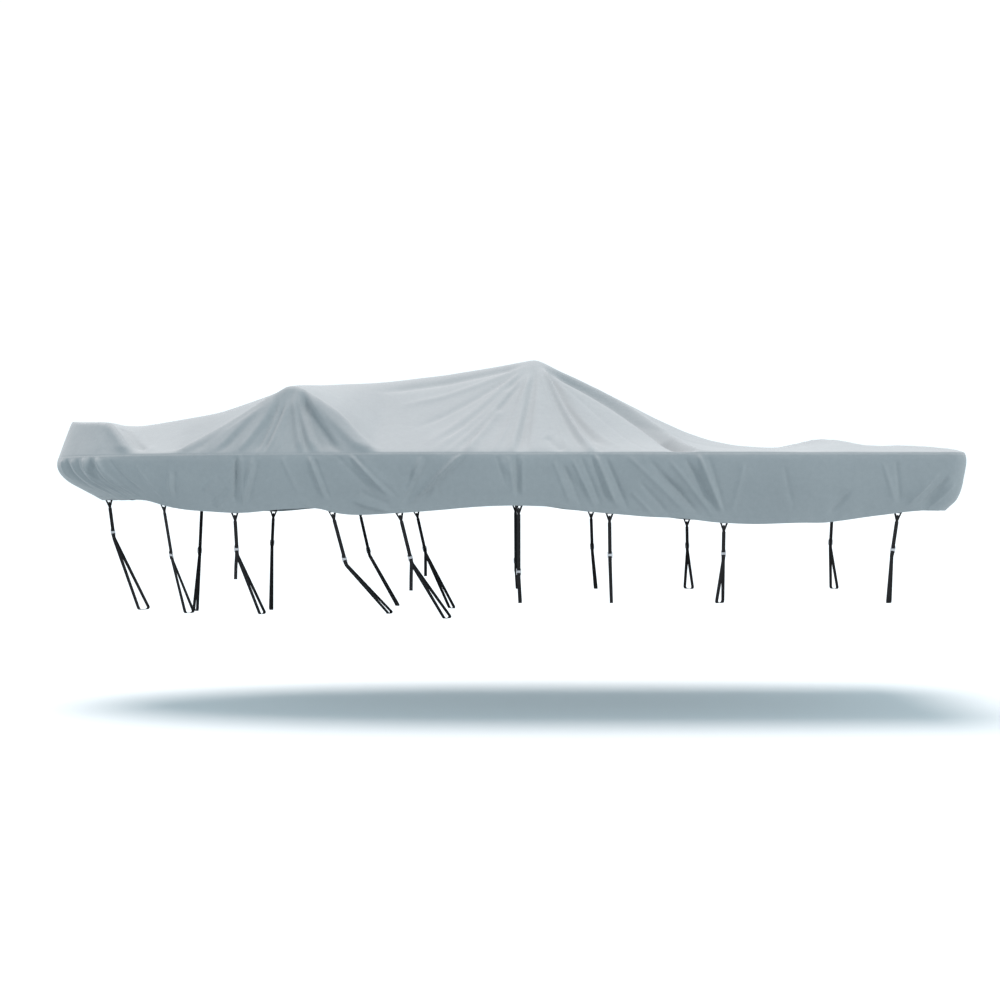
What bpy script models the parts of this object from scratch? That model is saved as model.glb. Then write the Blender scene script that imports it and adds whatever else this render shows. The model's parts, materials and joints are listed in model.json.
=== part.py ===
"""A fitted cover for an open boat of about 7.3 m, drawn tight over a hull that is left out.

The cloth is four sewn panels: the top sheet, a skirt down each side, and a skirt across the
transom. Seventeen webbing tie-downs hang from its hem, each a loop, a strap and a buckle.

Frame: +X aft, -Y port, +Z up, in metres. The origin is on the inner face of the cloth, over the
head of the support pole. Inside the script heights run from the gunwale, and lower() moves them.
"""

import math
from collections import namedtuple

import bmesh
import bpy
import numpy as np
from mathutils import Vector
from mathutils.geometry import delaunay_2d_cdt


class Table:
    """Rows of numbers under named columns, read at a value of the first column."""

    def __init__(self, columns, *rows):
        self.columns = columns.split()
        self.rows = np.array(rows)

    def straight(self, column, at):
        """A column, straight from row to row."""
        return np.interp(at, self.rows[:, 0], self.rows[:, self.columns.index(column)])

    def smooth(self, column, at):
        """A column, on one smooth curve through its rows."""
        place, value = self.rows[:, 0], self.rows[:, self.columns.index(column)]
        slope = np.gradient(value, place)
        at = np.clip(at, place[0], place[-1])
        row = np.clip(np.searchsorted(place, at) - 1, 0, len(place) - 2)
        step = place[row + 1] - place[row]
        t = (at - place[row]) / step
        ease = t * t * (3.0 - 2.0 * t)
        bend = slope[row] * (1.0 - t) ** 2 * t - slope[row + 1] * t ** 2 * (1.0 - t)
        return value[row] * (1.0 - ease) + value[row + 1] * ease + bend * step


# ---------------------------------------------------------------- driving sizes

CLOTH = 0.002             # thickness of the cloth
SEAM_GAP = 0.0003         # clear gap between two sewn pieces

BOW_X = -4.015            # foremost point of the gunwale
STERN_X = 3.30            # aft edge of the transom
HALF_BEAM = 1.22          # half the width at its widest
STERN_HALF_BEAM = 1.17    # half the width at the transom
FULL_BEAM_X = -0.33       # where the bow's curve reaches the full width
BOW_POWER = 2.2           # how full the bow's curve is
CORNER_RADIUS = 0.16      # stern corners, seen from above
BOW_FLAT = 0.006          # length cut off the very tip of the bow's curve
NOSE_HALF = 0.073         # half the width of the flat that this leaves

NET_STEP = 0.135          # longest step along a seam
NET_TURN = math.radians(12.0)  # most that a seam turns in one step
NET_GRID = 0.165          # step of the wide net between the folds
GRID_CLEAR = 0.11         # its points keep this far from those already there
RIM_CLEAR = 0.04          # points of the net keep this far in from the rim
RIDGE_STEP = 0.14         # step of the net along the centreline
POLE_RINGS = (0.045, 0.11)         # rings of the net round the pole's head
FOLD_STEP = 0.085         # step of the net along a fold's crest and feet
FOLD_START = 0.06         # share of its length where a fold's own points start
FOLD_FEET = 1.15          # from its crest to its feet, in its breadths
CREST_CLEAR = 0.035       # a point of a crest keeps this far from those already there
FEET_CLEAR = 0.045        # and one of its feet this
SKIRT_CLEAR = (0.030, 0.035)       # the same two on the skirts
SKIRT_SHARES = (0.1, 0.2, 0.3, 0.4, 0.5, 0.6, 0.7, 0.85)   # net points down a skirt's end
NET_DEPTH = 0.45          # the skirt's depth where its net is laid out flat
TIE_NET_HALF = 0.036      # the cloth is flat this far to each side of a tie-down
TIE_NET_RISE = 0.042      # and this far up from the hem
TIE_CALM = (0.05, 0.13)   # a fold dies out between these distances from a tie-down

# The top sheet's sections. crown: height on the centreline. edge: height that the sheet would
# have over the gunwale if it ran straight on. hollow: how far it hangs in between the two.
# steep: slope of the drop to the gunwale. ridge: how round the centreline is.
SECTIONS = Table(
    "x crown edge hollow steep ridge",
    (-4.03, 0.300, 0.300, 0.000, 3.00, 0.30),
    (-3.90, 0.303, 0.298, 0.000, 2.80, 0.30),
    (-3.75, 0.302, 0.284, 0.012, 2.20, 0.30),
    (-3.60, 0.300, 0.272, 0.008, 2.15, 0.30),
    (-3.47, 0.268, 0.262, 0.012, 2.10, 0.30),
    (-3.33, 0.266, 0.130, 0.010, 2.00, 0.25),
    (-3.20, 0.286, 0.012, 0.010, 1.80, 0.20),
    (-2.78, 0.360, 0.012, 0.022, 1.60, 0.20),
    (-2.62, 0.394, 0.085, 0.022, 1.90, 0.22),
    (-2.42, 0.462, 0.195, 0.020, 2.20, 0.25),
    (-2.23, 0.528, 0.310, 0.012, 2.40, 0.30),
    (-2.08, 0.584, 0.405, 0.004, 2.40, 0.35),
    (-1.98, 0.604, 0.510, 0.000, 2.40, 0.35),
    (-1.88, 0.606, 0.510, 0.000, 2.40, 0.35),
    (-1.80, 0.609, 0.460, 0.005, 2.40, 0.33),
    (-1.67, 0.618, 0.360, 0.014, 2.30, 0.30),
    (-1.55, 0.624, 0.280, 0.024, 2.20, 0.27),
    (-1.40, 0.632, 0.120, 0.034, 1.90, 0.24),
    (-1.26, 0.642, 0.012, 0.042, 1.60, 0.20),
    (-0.76, 0.700, 0.012, 0.046, 1.50, 0.12),
    (-0.30, 0.778, 0.012, 0.040, 1.50, 0.09),
    (-0.08, 0.817, 0.012, 0.030, 1.50, 0.06),
    (0.00, 0.834, 0.012, 0.028, 1.50, 0.05),
    (0.07, 0.806, 0.012, 0.030, 1.50, 0.06),
    (0.30, 0.686, 0.012, 0.036, 1.50, 0.09),
    (0.71, 0.492, 0.012, 0.030, 1.50, 0.12),
    (0.98, 0.350, 0.012, 0.022, 1.50, 0.16),
    (1.25, 0.224, 0.012, 0.014, 1.50, 0.20),
    (1.45, 0.152, 0.012, 0.008, 1.50, 0.25),
    (1.65, 0.106, 0.012, 0.004, 1.50, 0.30),
    (1.86, 0.084, 0.012, -0.002, 1.50, 0.35),
    (2.00, 0.078, 0.008, -0.006, 1.50, 0.40),
    (2.13, 0.106, 0.010, -0.010, 1.50, 0.40),
    (2.32, 0.144, 0.012, -0.012, 1.50, 0.40),
    (2.48, 0.146, 0.012, -0.010, 1.50, 0.40),
    (2.62, 0.106, 0.012, -0.010, 1.50, 0.40),
    (2.80, 0.100, 0.012, -0.012, 1.50, 0.40),
    (3.10, 0.096, 0.012, -0.008, 1.60, 0.40),
    (3.30, 0.086, 0.012, -0.004, 1.80, 0.40),
)
SECTION_BLUR = 0.05       # each section eases into the next over this length
SHOULDER = 0.030          # how soft the edge over the drop to the gunwale is
DROP_REACH = (-0.04, 0.08)  # the sheet counts as the drop where it would be this far over it
SHOULDER_STEP = 0.065     # step of the net along that edge
SHOULDER_LEAST = 0.015    # where it is lower than this, the net doesn't follow it

# Depth of the skirt below the gunwale, from bow to stern.
HEM = Table(
    "x depth",
    (-4.03, 0.356),
    (-3.55, 0.352),
    (-3.30, 0.362),
    (-3.10, 0.400),
    (-2.85, 0.430),
    (-2.60, 0.447),
    (-2.34, 0.458),
    (-1.93, 0.427),
    (-1.67, 0.431),
    (-1.60, 0.450),
    (-1.08, 0.457),
    (-0.80, 0.438),
    (-0.46, 0.408),
    (-0.15, 0.400),
    (0.12, 0.413),
    (0.29, 0.438),
    (0.54, 0.461),
    (0.86, 0.486),
    (1.10, 0.498),
    (1.37, 0.530),
    (1.65, 0.541),
    (2.04, 0.532),
    (2.19, 0.532),
    (2.39, 0.508),
    (2.63, 0.475),
    (2.87, 0.446),
    (3.30, 0.440),
)

# How the skirt draws in below the gunwale, following the hull. stem: back along the stem.
# flare: inboard, as a share of the half width. rake: forward from the transom.
DRAW_IN = Table(
    "depth stem flare rake",
    (0.000, 0.000, 0.000, 0.000),
    (0.030, -0.010, -0.004, -0.006),
    (0.075, -0.012, -0.003, -0.006),
    (0.127, 0.006, 0.004, 0.000),
    (0.204, 0.082, 0.018, 0.010),
    (0.263, 0.185, 0.032, 0.017),
    (0.331, 0.315, 0.052, 0.036),
    (0.356, 0.364, 0.058, 0.048),
    (0.440, 0.500, 0.080, 0.127),
    (0.560, 0.640, 0.105, 0.210),
)
STEM_REACH = 1.7          # the stem's slope fades out over this length of the gunwale
STEM_POWER = 1.5          # and this much faster than a plain ease
RAKE_REACH = 0.55         # the transom's slope fades out over this
BOW_FLARE = 2.4           # the flare at the bow is this many times the one amidships

# Folds, each from its head to its foot, on the port side. width: half its breadth at the foot.
# head: its breadth at the head, as a share of that at the foot. rise: how far it stands out, or
# in if negative. swing: how far its middle swings aft, where it isn't straight.
Fold = namedtuple("Fold", "x0 y0 x1 y1 width head rise swing", defaults=(0.0,))
TOP_FOLDS = [Fold(*row) for row in (
    # x0, y0, x1, y1, width, head, rise, swing
    (-3.50, 0.46, -3.24, 0.78, 0.035, 0.7, 0.018),
    (-3.42, 0.36, -3.14, 0.74, 0.040, 0.6, -0.018),
    (-3.36, 0.34, -3.06, 0.78, 0.035, 0.6, 0.012),
    (-2.02, 0.93, -2.27, 1.17, 0.032, 0.7, -0.028),
    (-2.00, 0.94, -2.18, 1.17, 0.028, 0.8, 0.016),
    (-2.05, 0.94, -2.40, 1.10, 0.035, 0.7, 0.022),
    (-2.00, 0.90, -2.84, 0.92, 0.045, 0.7, 0.018, -0.05),
    (-1.93, 0.94, -1.81, 1.18, 0.026, 0.9, 0.014),
    (-1.91, 0.94, -1.69, 1.18, 0.026, 0.9, 0.022),
    (-1.85, 0.96, -1.47, 1.19, 0.040, 0.8, -0.018),
    (-1.80, 0.97, -1.26, 1.20, 0.042, 0.8, 0.018),
    (-0.10, 0.10, -1.25, 0.25, 0.050, 0.6, -0.024),
    (-0.08, 0.12, -0.82, 1.02, 0.042, 0.6, 0.028),
    (-0.06, 0.16, -0.70, 0.98, 0.042, 0.6, -0.022),
    (-0.20, 0.34, -0.76, 1.13, 0.034, 0.7, 0.020),
    (-0.30, 0.62, -0.55, 1.19, 0.036, 0.7, 0.022),
    (-0.04, 0.14, -0.22, 1.17, 0.032, 0.8, 0.016),
    (-0.02, 0.12, -0.15, 1.17, 0.030, 0.8, -0.024),
    (0.05, 0.10, 0.38, 1.17, 0.032, 0.7, 0.034),
    (0.10, 0.12, 0.47, 1.02, 0.045, 0.6, -0.030),
    (0.06, 1.02, 0.17, 1.20, 0.028, 0.8, -0.014),
    (0.04, 0.11, 1.08, 1.18, 0.048, 0.7, -0.058, 0.40),
    (0.06, 0.06, 1.20, 1.12, 0.045, 0.7, 0.022, 0.43),
    (2.30, 0.05, 2.55, 0.90, 0.080, 0.6, 0.012),
    (2.75, 0.10, 3.05, 1.00, 0.060, 0.6, -0.010),
)]
# On the skirts y0 and y1 are depths, as shares of the skirt's own.
SKIRT_FOLDS = [Fold(*row) for row in (
    # x0, y0, x1, y1, width, head, rise
    (-3.84, 0.05, -3.82, 0.65, 0.030, 0.8, -0.019),
    (-3.60, 0.00, -3.66, 0.75, 0.030, 0.8, 0.022),
    (-3.56, 0.05, -3.61, 0.75, 0.030, 0.8, -0.019),
    (-3.52, 0.02, -3.45, 0.95, 0.030, 0.8, 0.019),
    (-2.86, 0.33, -2.93, 0.75, 0.030, 0.7, 0.016),
    (-2.33, 0.04, -2.34, 0.65, 0.035, 0.7, -0.019),
    (-2.18, 0.10, -2.29, 0.75, 0.035, 0.7, 0.016),
    (-1.76, 0.06, -1.62, 0.78, 0.030, 0.7, 0.016),
    (-1.44, 0.02, -1.13, 0.66, 0.035, 0.8, 0.022),
    (-1.41, 0.78, -1.13, 0.95, 0.030, 0.7, 0.013),
    (-0.93, 0.30, -1.04, 0.85, 0.030, 0.7, -0.013),
    (-0.87, 0.08, -1.05, 0.85, 0.030, 0.7, 0.016),
    (-0.56, 0.00, -0.98, 0.85, 0.040, 0.7, 0.019),
    (-0.29, 0.08, -0.21, 0.45, 0.025, 0.7, 0.011),
    (-0.16, 0.10, -0.16, 0.90, 0.025, 0.8, -0.013),
    (0.15, 0.20, 0.40, 0.90, 0.050, 0.6, -0.016),
    (0.40, 0.00, 0.60, 0.88, 0.035, 0.7, 0.022),
    (0.47, 0.10, 0.66, 0.90, 0.035, 0.7, -0.016),
    (0.88, 0.30, 1.34, 0.95, 0.050, 0.6, -0.016),
    (1.10, 0.10, 1.34, 0.85, 0.040, 0.6, -0.019),
    (1.19, 0.00, 1.38, 0.80, 0.035, 0.7, 0.026),
    (2.38, 0.60, 2.24, 0.85, 0.040, 0.7, -0.010),
    (3.03, 0.40, 2.82, 0.80, 0.040, 0.7, 0.016),
    (3.13, 0.52, 2.98, 0.93, 0.030, 0.7, -0.016),
)]
# And on the transom x0 and x1 are lengths across it.
TRANSOM_FOLDS = [Fold(*row) for row in (
    # x0, y0, x1, y1, width, head, rise
    (-0.62, 0.12, -0.80, 0.85, 0.040, 0.7, 0.016),
    (-0.10, 0.20, -0.16, 0.80, 0.035, 0.7, -0.013),
    (0.28, 0.15, 0.36, 0.90, 0.035, 0.7, 0.013),
    (0.70, 0.10, 0.86, 0.80, 0.040, 0.7, 0.016),
)]
CREST_POWER = 1.25        # how sharp a crease's crest is: 1 is a knife edge, 2 a round swell
EDGE_FADE = 0.035         # the folds die out this close to the gunwale's seam
LEAST_BREADTH = 0.024     # no fold is narrower than this to each side of its crest
TOP_FADE = (0.14, 0.86)   # share of a top fold's length where it has risen, and starts to die out
SKIRT_FADE = (0.40, 0.62)  # and of a skirt fold's

# Tie-downs: where each leaves the hem, where its two runs part, and where each run passes the
# trailer's rail, which is left out. y is outboard and z below the gunwale. tail: the free end.
Tie = namedtuple("Tie", "name hem_x part_x part_y part_z near_x near_y far_x far_y foot_z tail")
TIES = [Tie(*row) for row in (
    # name, hem_x,  part_x, part_y, part_z, near_x, near_y, far_x,  far_y, foot_z, tail
    ("1", -2.980, -2.954, 0.520, -0.844, -2.930, 0.170, -2.880, 0.080, -1.290, 0.05),
    ("2", -2.370, -2.368, 0.850, -0.790, -2.290, 0.280, -2.262, 0.190, -1.290, 0.24),
    ("3", -1.598, -1.495, 0.985, -0.862, -1.215, 0.480, -1.190, 0.390, -1.270, 0.05),
    ("4", -1.075, -0.982, 1.030, -0.850, -0.755, 0.590, -0.705, 0.500, -1.300, 0.26),
    ("5", -0.157, -0.155, 1.040, -0.960, -0.146, 0.950, -0.140, 0.870, -1.150, 0.11),
    ("6", 0.541, 0.550, 1.050, -0.830, 0.568, 0.950, 0.575, 0.870, -1.150, 0.05),
    ("7", 1.425, 1.425, 1.050, -0.820, 1.388, 0.950, 1.450, 0.870, -1.150, 0.05),
    ("8", 2.769, 2.735, 1.020, -0.790, 2.722, 0.950, 2.764, 0.870, -1.150, 0.05),
)]
BOW_TIE = Tie("bow", None, -3.569, 0.000, -0.678, -3.345, 0.060, -3.290, -0.060, -1.270, 0.05)
WEBBING = 0.028           # width of the straps
WEBBING_THICK = 0.002
SHARPEST_BEND = 0.7       # cosine of half the turn past which a bend isn't mitred any further
LOOP_WIDTH = 0.064        # the sewn loop, where it crosses the hem
LOOP_DROP = 0.066         # and how far its point hangs below it
LOOP_TAB = 0.036          # length sewn to the cloth above the hem
BOW_TAB = 0.045           # length that the bow's loop is sewn to the stem
BOW_TAB_TOP = (-0.4, 0.6)          # its upper corners, in half widths of the loop
LOOP_TIP = 0.009          # half the width of the loop's lower end
LOOP_HOLE = (0.004, 0.040)         # top and bottom of the loop's opening, below the hem
LOOP_LEG = 0.016          # width of each leg of the loop
RUN_OFFSET = 0.0026       # from the middle of a doubled strap to the middle of each run
TAB_CLEAR = 0.0006        # from the cloth to the loop's tab
STRAND = 0.0252           # width of each run below the place where they part
RAIL_EASE = 0.16          # share of the way between the runs where the strap bends round the rail
RAIL_DROOP = 0.012        # and how far it hangs below their ends there
BUCKLE = (0.040, 0.048, 0.003)     # width, height, thickness
BUCKLE_SLOT = (0.031, 0.006)       # width and height of each slot
BUCKLE_SLOT_AT = 0.012    # from the middle of the buckle to the middle of a slot
BUCKLE_BACK = 0.0042      # from the middle of the doubled strap to the back of the buckle
BUCKLE_ABOVE = 0.050      # the buckle sits this far above the place where the runs part
FRONT_CLEAR = 0.0017      # from the buckle's front to the middle of the strap over it
SEWN_END = 0.022          # length of the strap's sewn end above its slot
TAIL_FLAT = 0.040         # the tail lies flat this far below the buckle's middle
TAIL_SHORT = 0.05         # a tail no longer than this ends there
TAIL_LEAST = 0.01         # and a longer one hangs at least this much lower
TAIL_KICK = 0.12          # how far it hangs out, as a share of that
TAIL_BELLY = 0.006        # how far its middle bends out
SLOT_EASE = 0.0026        # beyond a slot the strap is down on the buckle after this length
SLOT_REST = 0.0003        # it stands this far off the buckle at the slot's edge
SLOT_DROP = 0.002         # behind the slot it reaches its run after this length
PART_EASE = 0.004         # the runs are together until this far from where they part
# How the doubled strap narrows up to the loop's point and passes through it.
LOOP_PASS = (
    # down,  out,     width
    (0.0800, RUN_OFFSET, WEBBING),
    (0.0600, RUN_OFFSET, 0.022),
    (0.0340, RUN_OFFSET + 0.0002, 0.012),
    (0.0210, 0.0022, 0.012),
    (0.0175, 0.0000, 0.012),
)

# The starboard folds are like the port ones, but none is an exact copy.
STARBOARD_SHIFT = 0.03    # furthest that a fold moves along the boat
STARBOARD_RISE = 0.85     # and its relief, as a share of the port one
CENTRE_FADE = 0.10        # a side's folds die out this far beyond the centreline


# ---------------------------------------------------------------- easing

def soft_step(value, low, high):
    """0 below low, 1 above high, and an even S between them."""
    t = np.clip((value - low) / (high - low), 0.0, 1.0)
    return t * t * (3.0 - 2.0 * t)


def section(column, x):
    """A column of SECTIONS at x, eased from row to row."""
    x = np.asarray(x, float)
    steps = np.array((-1.0, -0.5, 0.0, 0.5, 1.0)) * SECTION_BLUR
    weights = (1, 2, 3, 2, 1)
    total = sum(w * SECTIONS.straight(column, x + s) for s, w in zip(steps, weights))
    return total / sum(weights)


# ---------------------------------------------------------------- the gunwale

def half_width(x):
    """Half the width of the gunwale at x."""
    x = np.asarray(x, float)
    ahead = np.clip((FULL_BEAM_X - x) / (FULL_BEAM_X - BOW_X), 0.0, 1.0)
    bow = HALF_BEAM * np.sqrt(1.0 - ahead ** BOW_POWER)
    aft = np.clip((x - FULL_BEAM_X) / (STERN_X - FULL_BEAM_X), 0.0, 1.0)
    side = HALF_BEAM - (HALF_BEAM - STERN_HALF_BEAM) * aft ** 2
    into_corner = np.clip(x - (STERN_X - CORNER_RADIUS), 0.0, CORNER_RADIUS)
    corner = CORNER_RADIUS - np.sqrt(CORNER_RADIUS ** 2 - into_corner ** 2)
    return np.where(x < FULL_BEAM_X, bow, side - corner)


def inset(x, y):
    """How far a point lies in from the gunwale."""
    x, y = np.asarray(x, float), np.abs(np.asarray(y, float))
    ahead = np.clip((FULL_BEAM_X - x) / (FULL_BEAM_X - BOW_X), 0.0, 1.0)
    inside = 1.0 - ahead ** BOW_POWER - (y / HALF_BEAM) ** 2
    slope_x = BOW_POWER * ahead ** (BOW_POWER - 1.0) / (FULL_BEAM_X - BOW_X)
    slope_y = 2.0 * y / HALF_BEAM ** 2
    bow = np.minimum(inside / np.maximum(np.hypot(slope_x, slope_y), 1e-6), x - BOW_X - BOW_FLAT)
    aft = np.clip((x - FULL_BEAM_X) / (STERN_X - FULL_BEAM_X), 0.0, 1.0)
    to_side = HALF_BEAM - (HALF_BEAM - STERN_HALF_BEAM) * aft ** 2 - y
    to_stern = STERN_X - x
    round_off = CORNER_RADIUS - np.hypot(
        np.maximum(CORNER_RADIUS - to_stern, 0.0), np.maximum(CORNER_RADIUS - to_side, 0.0)
    )
    in_corner = (to_stern < CORNER_RADIUS) & (to_side < CORNER_RADIUS)
    stern = np.where(in_corner, round_off, np.minimum(to_side, to_stern))
    return np.maximum(np.where(x < FULL_BEAM_X, bow, stern), 0.0)


def gunwale_line():
    """The port half of the gunwale, from the middle of the bow to the middle of the stern."""
    tip = BOW_X + BOW_FLAT
    turn = np.linspace(0.0, 1.0, 1500)    # finer than any net that is laid along it
    x = np.concatenate([
        tip + (STERN_X - CORNER_RADIUS - tip) * turn ** 2,
        STERN_X - CORNER_RADIUS * (1.0 - np.sin(turn[1:] * math.pi / 2)),
    ])
    line = np.column_stack([x, -half_width(x)])
    return np.vstack([[tip, 0.0], line, [STERN_X, 0.0]])


def seam_points():
    """Points along the port half of the gunwale, closer together where it turns.

    Also the place in that list of the middle of the stern corner, where the side skirt ends.
    """
    line = gunwale_line()
    steps = np.diff(line, axis=0)
    length = np.hypot(steps[:, 0], steps[:, 1])
    heading = np.unwrap(np.arctan2(steps[:, 1], steps[:, 0]))
    turning = np.abs(np.diff(heading, prepend=heading[0]))
    cost = np.concatenate([[0.0], np.cumsum(length / NET_STEP + turning / NET_TURN)])
    corner_x = STERN_X - CORNER_RADIUS * (1.0 - math.sin(math.pi / 4))
    corner = int(np.argmin(np.abs(line[:-1, 0] - corner_x)))
    points = []
    for first, last in ((0, corner), (corner, len(line) - 1)):
        count = math.ceil(cost[last] - cost[first])
        at = np.linspace(cost[first], cost[last], count + 1)[:-1]
        if first == corner:
            corner_index = len(points)
        points += [[np.interp(a, cost, line[:, k]) for k in (0, 1)] for a in at]
    points.append(line[-1].tolist())
    return np.array(points), corner_index


# ---------------------------------------------------------------- the draped surfaces

def fold_relief(along_x, across_y, fold, fade, length_scale=1.0):
    """What one fold adds at each point of the plane that it is laid out in."""
    run_x, run_y = fold.x1 - fold.x0, (fold.y1 - fold.y0) * length_scale
    length = math.hypot(run_x, run_y)
    from_x, from_y = along_x - fold.x0, (across_y - fold.y0) * length_scale
    along = (from_x * run_x + from_y * run_y) / length ** 2
    inside = np.clip(along, 0.0, 1.0)
    off = (from_x * run_y - from_y * run_x) / length - fold.swing * 4.0 * inside * (1.0 - inside)
    breadth = fold.width * (fold.head + (1.0 - fold.head) * inside)
    crest = np.exp(-np.abs(off / np.maximum(breadth, LEAST_BREADTH)) ** CREST_POWER)
    rising, dying = fade
    return fold.rise * crest * soft_step(along, -0.02, rising) * (1.0 - soft_step(along, dying, 1.12))


def mirrored_folds(folds, side):
    """The folds as they lie on one side: -1 is port, and starboard's differ a little."""
    if side < 0:
        return folds
    made = []
    for index, fold in enumerate(folds):
        shift = STARBOARD_SHIFT * math.sin(2.4 * index + 0.7)
        made.append(fold._replace(x1=fold.x1 + shift, rise=fold.rise * STARBOARD_RISE))
    return made


def sheet_and_drop(x, y):
    """Heights of the taut sheet and of the steep drop to the gunwale, and the way in from it."""
    width = np.maximum(half_width(x), 0.02)
    ridge = section("ridge", x)
    out = np.sqrt(y ** 2 + ridge ** 2) - ridge
    share = np.clip(out / (np.sqrt(width ** 2 + ridge ** 2) - ridge), 0.0, 1.2)
    crown, edge = section("crown", x), section("edge", x)
    sheet = crown + (edge - crown) * share - section("hollow", x) * np.sin(math.pi * share)
    depth_in = inset(x, y)
    return sheet, section("steep", x) * depth_in, depth_in


def top_height(x, y):
    """Height of the top sheet over the gunwale, outer face."""
    x, y = np.asarray(x, float), np.asarray(y, float)
    sheet, drop, depth_in = sheet_and_drop(x, y)
    blend = np.minimum(SHOULDER, 0.9 * drop + 1e-9)
    close = np.maximum(blend - np.abs(sheet - drop), 0.0) / blend
    height = np.minimum(sheet, drop) - close ** 2 * blend / 4.0
    relief = np.zeros_like(height)
    for side in (-1, 1):
        mine = soft_step(y * side, -CENTRE_FADE, 0.0)
        for fold in mirrored_folds(TOP_FOLDS, side):
            relief = relief + mine * fold_relief(x, y * side, fold, TOP_FADE)
    on_drop = soft_step(sheet - drop, *DROP_REACH)
    lift = 1.0 + (np.hypot(1.0, section("steep", x)) - 1.0) * on_drop
    return height + relief * lift * soft_step(depth_in, 0.0, EDGE_FADE)


def top_point(plan):
    """Points of the top sheet over points (x, y) of the plan."""
    plan = np.asarray(plan, float)
    return np.column_stack([plan[:, 0], plan[:, 1], top_height(plan[:, 0], plan[:, 1])])


class Seam:
    """The gunwale as a closed line: length along it to a point, port side first."""

    def __init__(self):
        half = gunwale_line()
        self.line = np.vstack([half, half[-2::-1] * (1.0, -1.0)])
        step = np.hypot(*np.diff(self.line, axis=0).T)
        self.at = np.concatenate([[0.0], np.cumsum(step)])
        self.length = self.at[-1]

    def point(self, along):
        return np.column_stack([np.interp(along, self.at, self.line[:, k]) for k in (0, 1)])

    def along(self, plan):
        """Length along the seam of a point on it."""
        plan = np.atleast_2d(plan)
        gap = np.hypot(self.line[None, :, 0] - plan[:, :1], self.line[None, :, 1] - plan[:, 1:])
        return self.at[np.argmin(gap, axis=1)]


def seam_way(along):
    """Direction of the seam at a length along it."""
    run = SEAM.point(np.array([along + 0.01])) - SEAM.point(np.array([along - 0.01]))
    return np.append(run[0], 0.0) / np.linalg.norm(run[0])


SEAM = Seam()
TIE_SEAMS = []            # filled once by tie_seams()


def skirt_depth(x):
    """Depth of the skirt under the gunwale at x."""
    return HEM.smooth("depth", x)


def skirt_point(spot, relief=True):
    """Points of the skirt, outer face: (length along the seam, share of its depth)."""
    spot = np.atleast_2d(np.asarray(spot, float))
    plan = SEAM.point(spot[:, 0])
    x, y = plan[:, 0], plan[:, 1]
    down = spot[:, 1] * skirt_depth(x)
    at_bow = 1.0 - soft_step(x, BOW_X, BOW_X + STEM_REACH)
    at_stern = soft_step(x, STERN_X - RAKE_REACH, STERN_X)
    flare = DRAW_IN.smooth("flare", down) * (1.0 + (BOW_FLARE - 1.0) * at_bow)
    back = DRAW_IN.smooth("stem", down) * at_bow ** STEM_POWER
    rake = DRAW_IN.smooth("rake", down) * at_stern
    point = np.column_stack([x + back - rake, y * (1.0 - flare), -down])
    if relief:
        point = point + skirt_normal(spot) * skirt_relief(spot)[:, None]
    return point


def skirt_normal(spot):
    """Outward normals of the skirt, without its folds."""
    spot = np.atleast_2d(np.asarray(spot, float))
    step = np.array([0.01, 0.0]), np.array([0.0, 0.02])
    limits = (0.0, -1.0), (SEAM.length, 2.0)
    along, down = (
        skirt_point(np.clip(spot + s, *limits), False) - skirt_point(np.clip(spot - s, *limits), False)
        for s in step
    )
    normal = np.cross(down, along)
    return normal / np.linalg.norm(normal, axis=1, keepdims=True)


def skirt_relief(spot):
    """How far the skirt's folds stand out."""
    plan = SEAM.point(spot[:, 0])
    depth = skirt_depth(plan[:, 0])
    total = np.zeros(len(spot))
    for side in (-1, 1):
        mine = plan[:, 1] * side >= 0.0
        for fold in mirrored_folds(SKIRT_FOLDS, side):
            total += mine * fold_relief(plan[:, 0], spot[:, 1], fold, SKIRT_FADE, NET_DEPTH)
    at_stern = plan[:, 0] > STERN_X - 1e-4
    for fold in TRANSOM_FOLDS:
        total += at_stern * fold_relief(plan[:, 1], spot[:, 1], fold, SKIRT_FADE, NET_DEPTH)
    for along in tie_seams():
        away = np.minimum(np.abs(spot[:, 0] - along), np.abs(SEAM.length - spot[:, 0] - along))
        total *= soft_step(np.hypot(away, (1.0 - spot[:, 1]) * depth), *TIE_CALM)
    return total * soft_step(spot[:, 1] * depth, 0.0, EDGE_FADE)


def tie_seams():
    """Length along the seam of each side tie-down, on the port side."""
    if not TIE_SEAMS:
        along = np.linspace(0.0, SEAM.length / 2, 4000)
        hem = skirt_point(np.column_stack([along, np.ones(len(along))]), False)
        side = hem[:3600, 0], along[:3600]    # without the transom, where x turns back
        TIE_SEAMS.extend(float(np.interp(tie.hem_x, *side)) for tie in TIES)
    return TIE_SEAMS


def gunwale_frame(seam):
    """At points of the gunwale: the joint's outward direction, its way up, and its stretch.

    The joint between the top sheet and the skirt lies midway between their two faces.
    """
    along = SEAM.along(seam)
    inward = np.column_stack([np.clip(seam[:, 0], BOW_X + 0.05, STERN_X - 0.05), seam[:, 1]])
    inward[:, 1] *= 1.0 - 0.012 / np.maximum(np.abs(inward[:, 1]), 0.05)
    top = top_normal(inward)
    side = skirt_normal(np.column_stack([along, np.full(len(along), 0.03)]))
    out = top + side
    out /= np.linalg.norm(out, axis=1, keepdims=True)
    before, after = (SEAM.point(np.clip(along + s, 0, SEAM.length)) for s in (-0.01, 0.01))
    run = np.column_stack([after - before, np.zeros(len(along))])
    up = np.cross(run, out)
    up /= np.linalg.norm(up, axis=1, keepdims=True)
    up *= np.sign(up[:, 2:])
    stretch = 1.0 / np.maximum(np.sum(out * side, axis=1, keepdims=True), 0.6)
    return out, up, stretch


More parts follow.
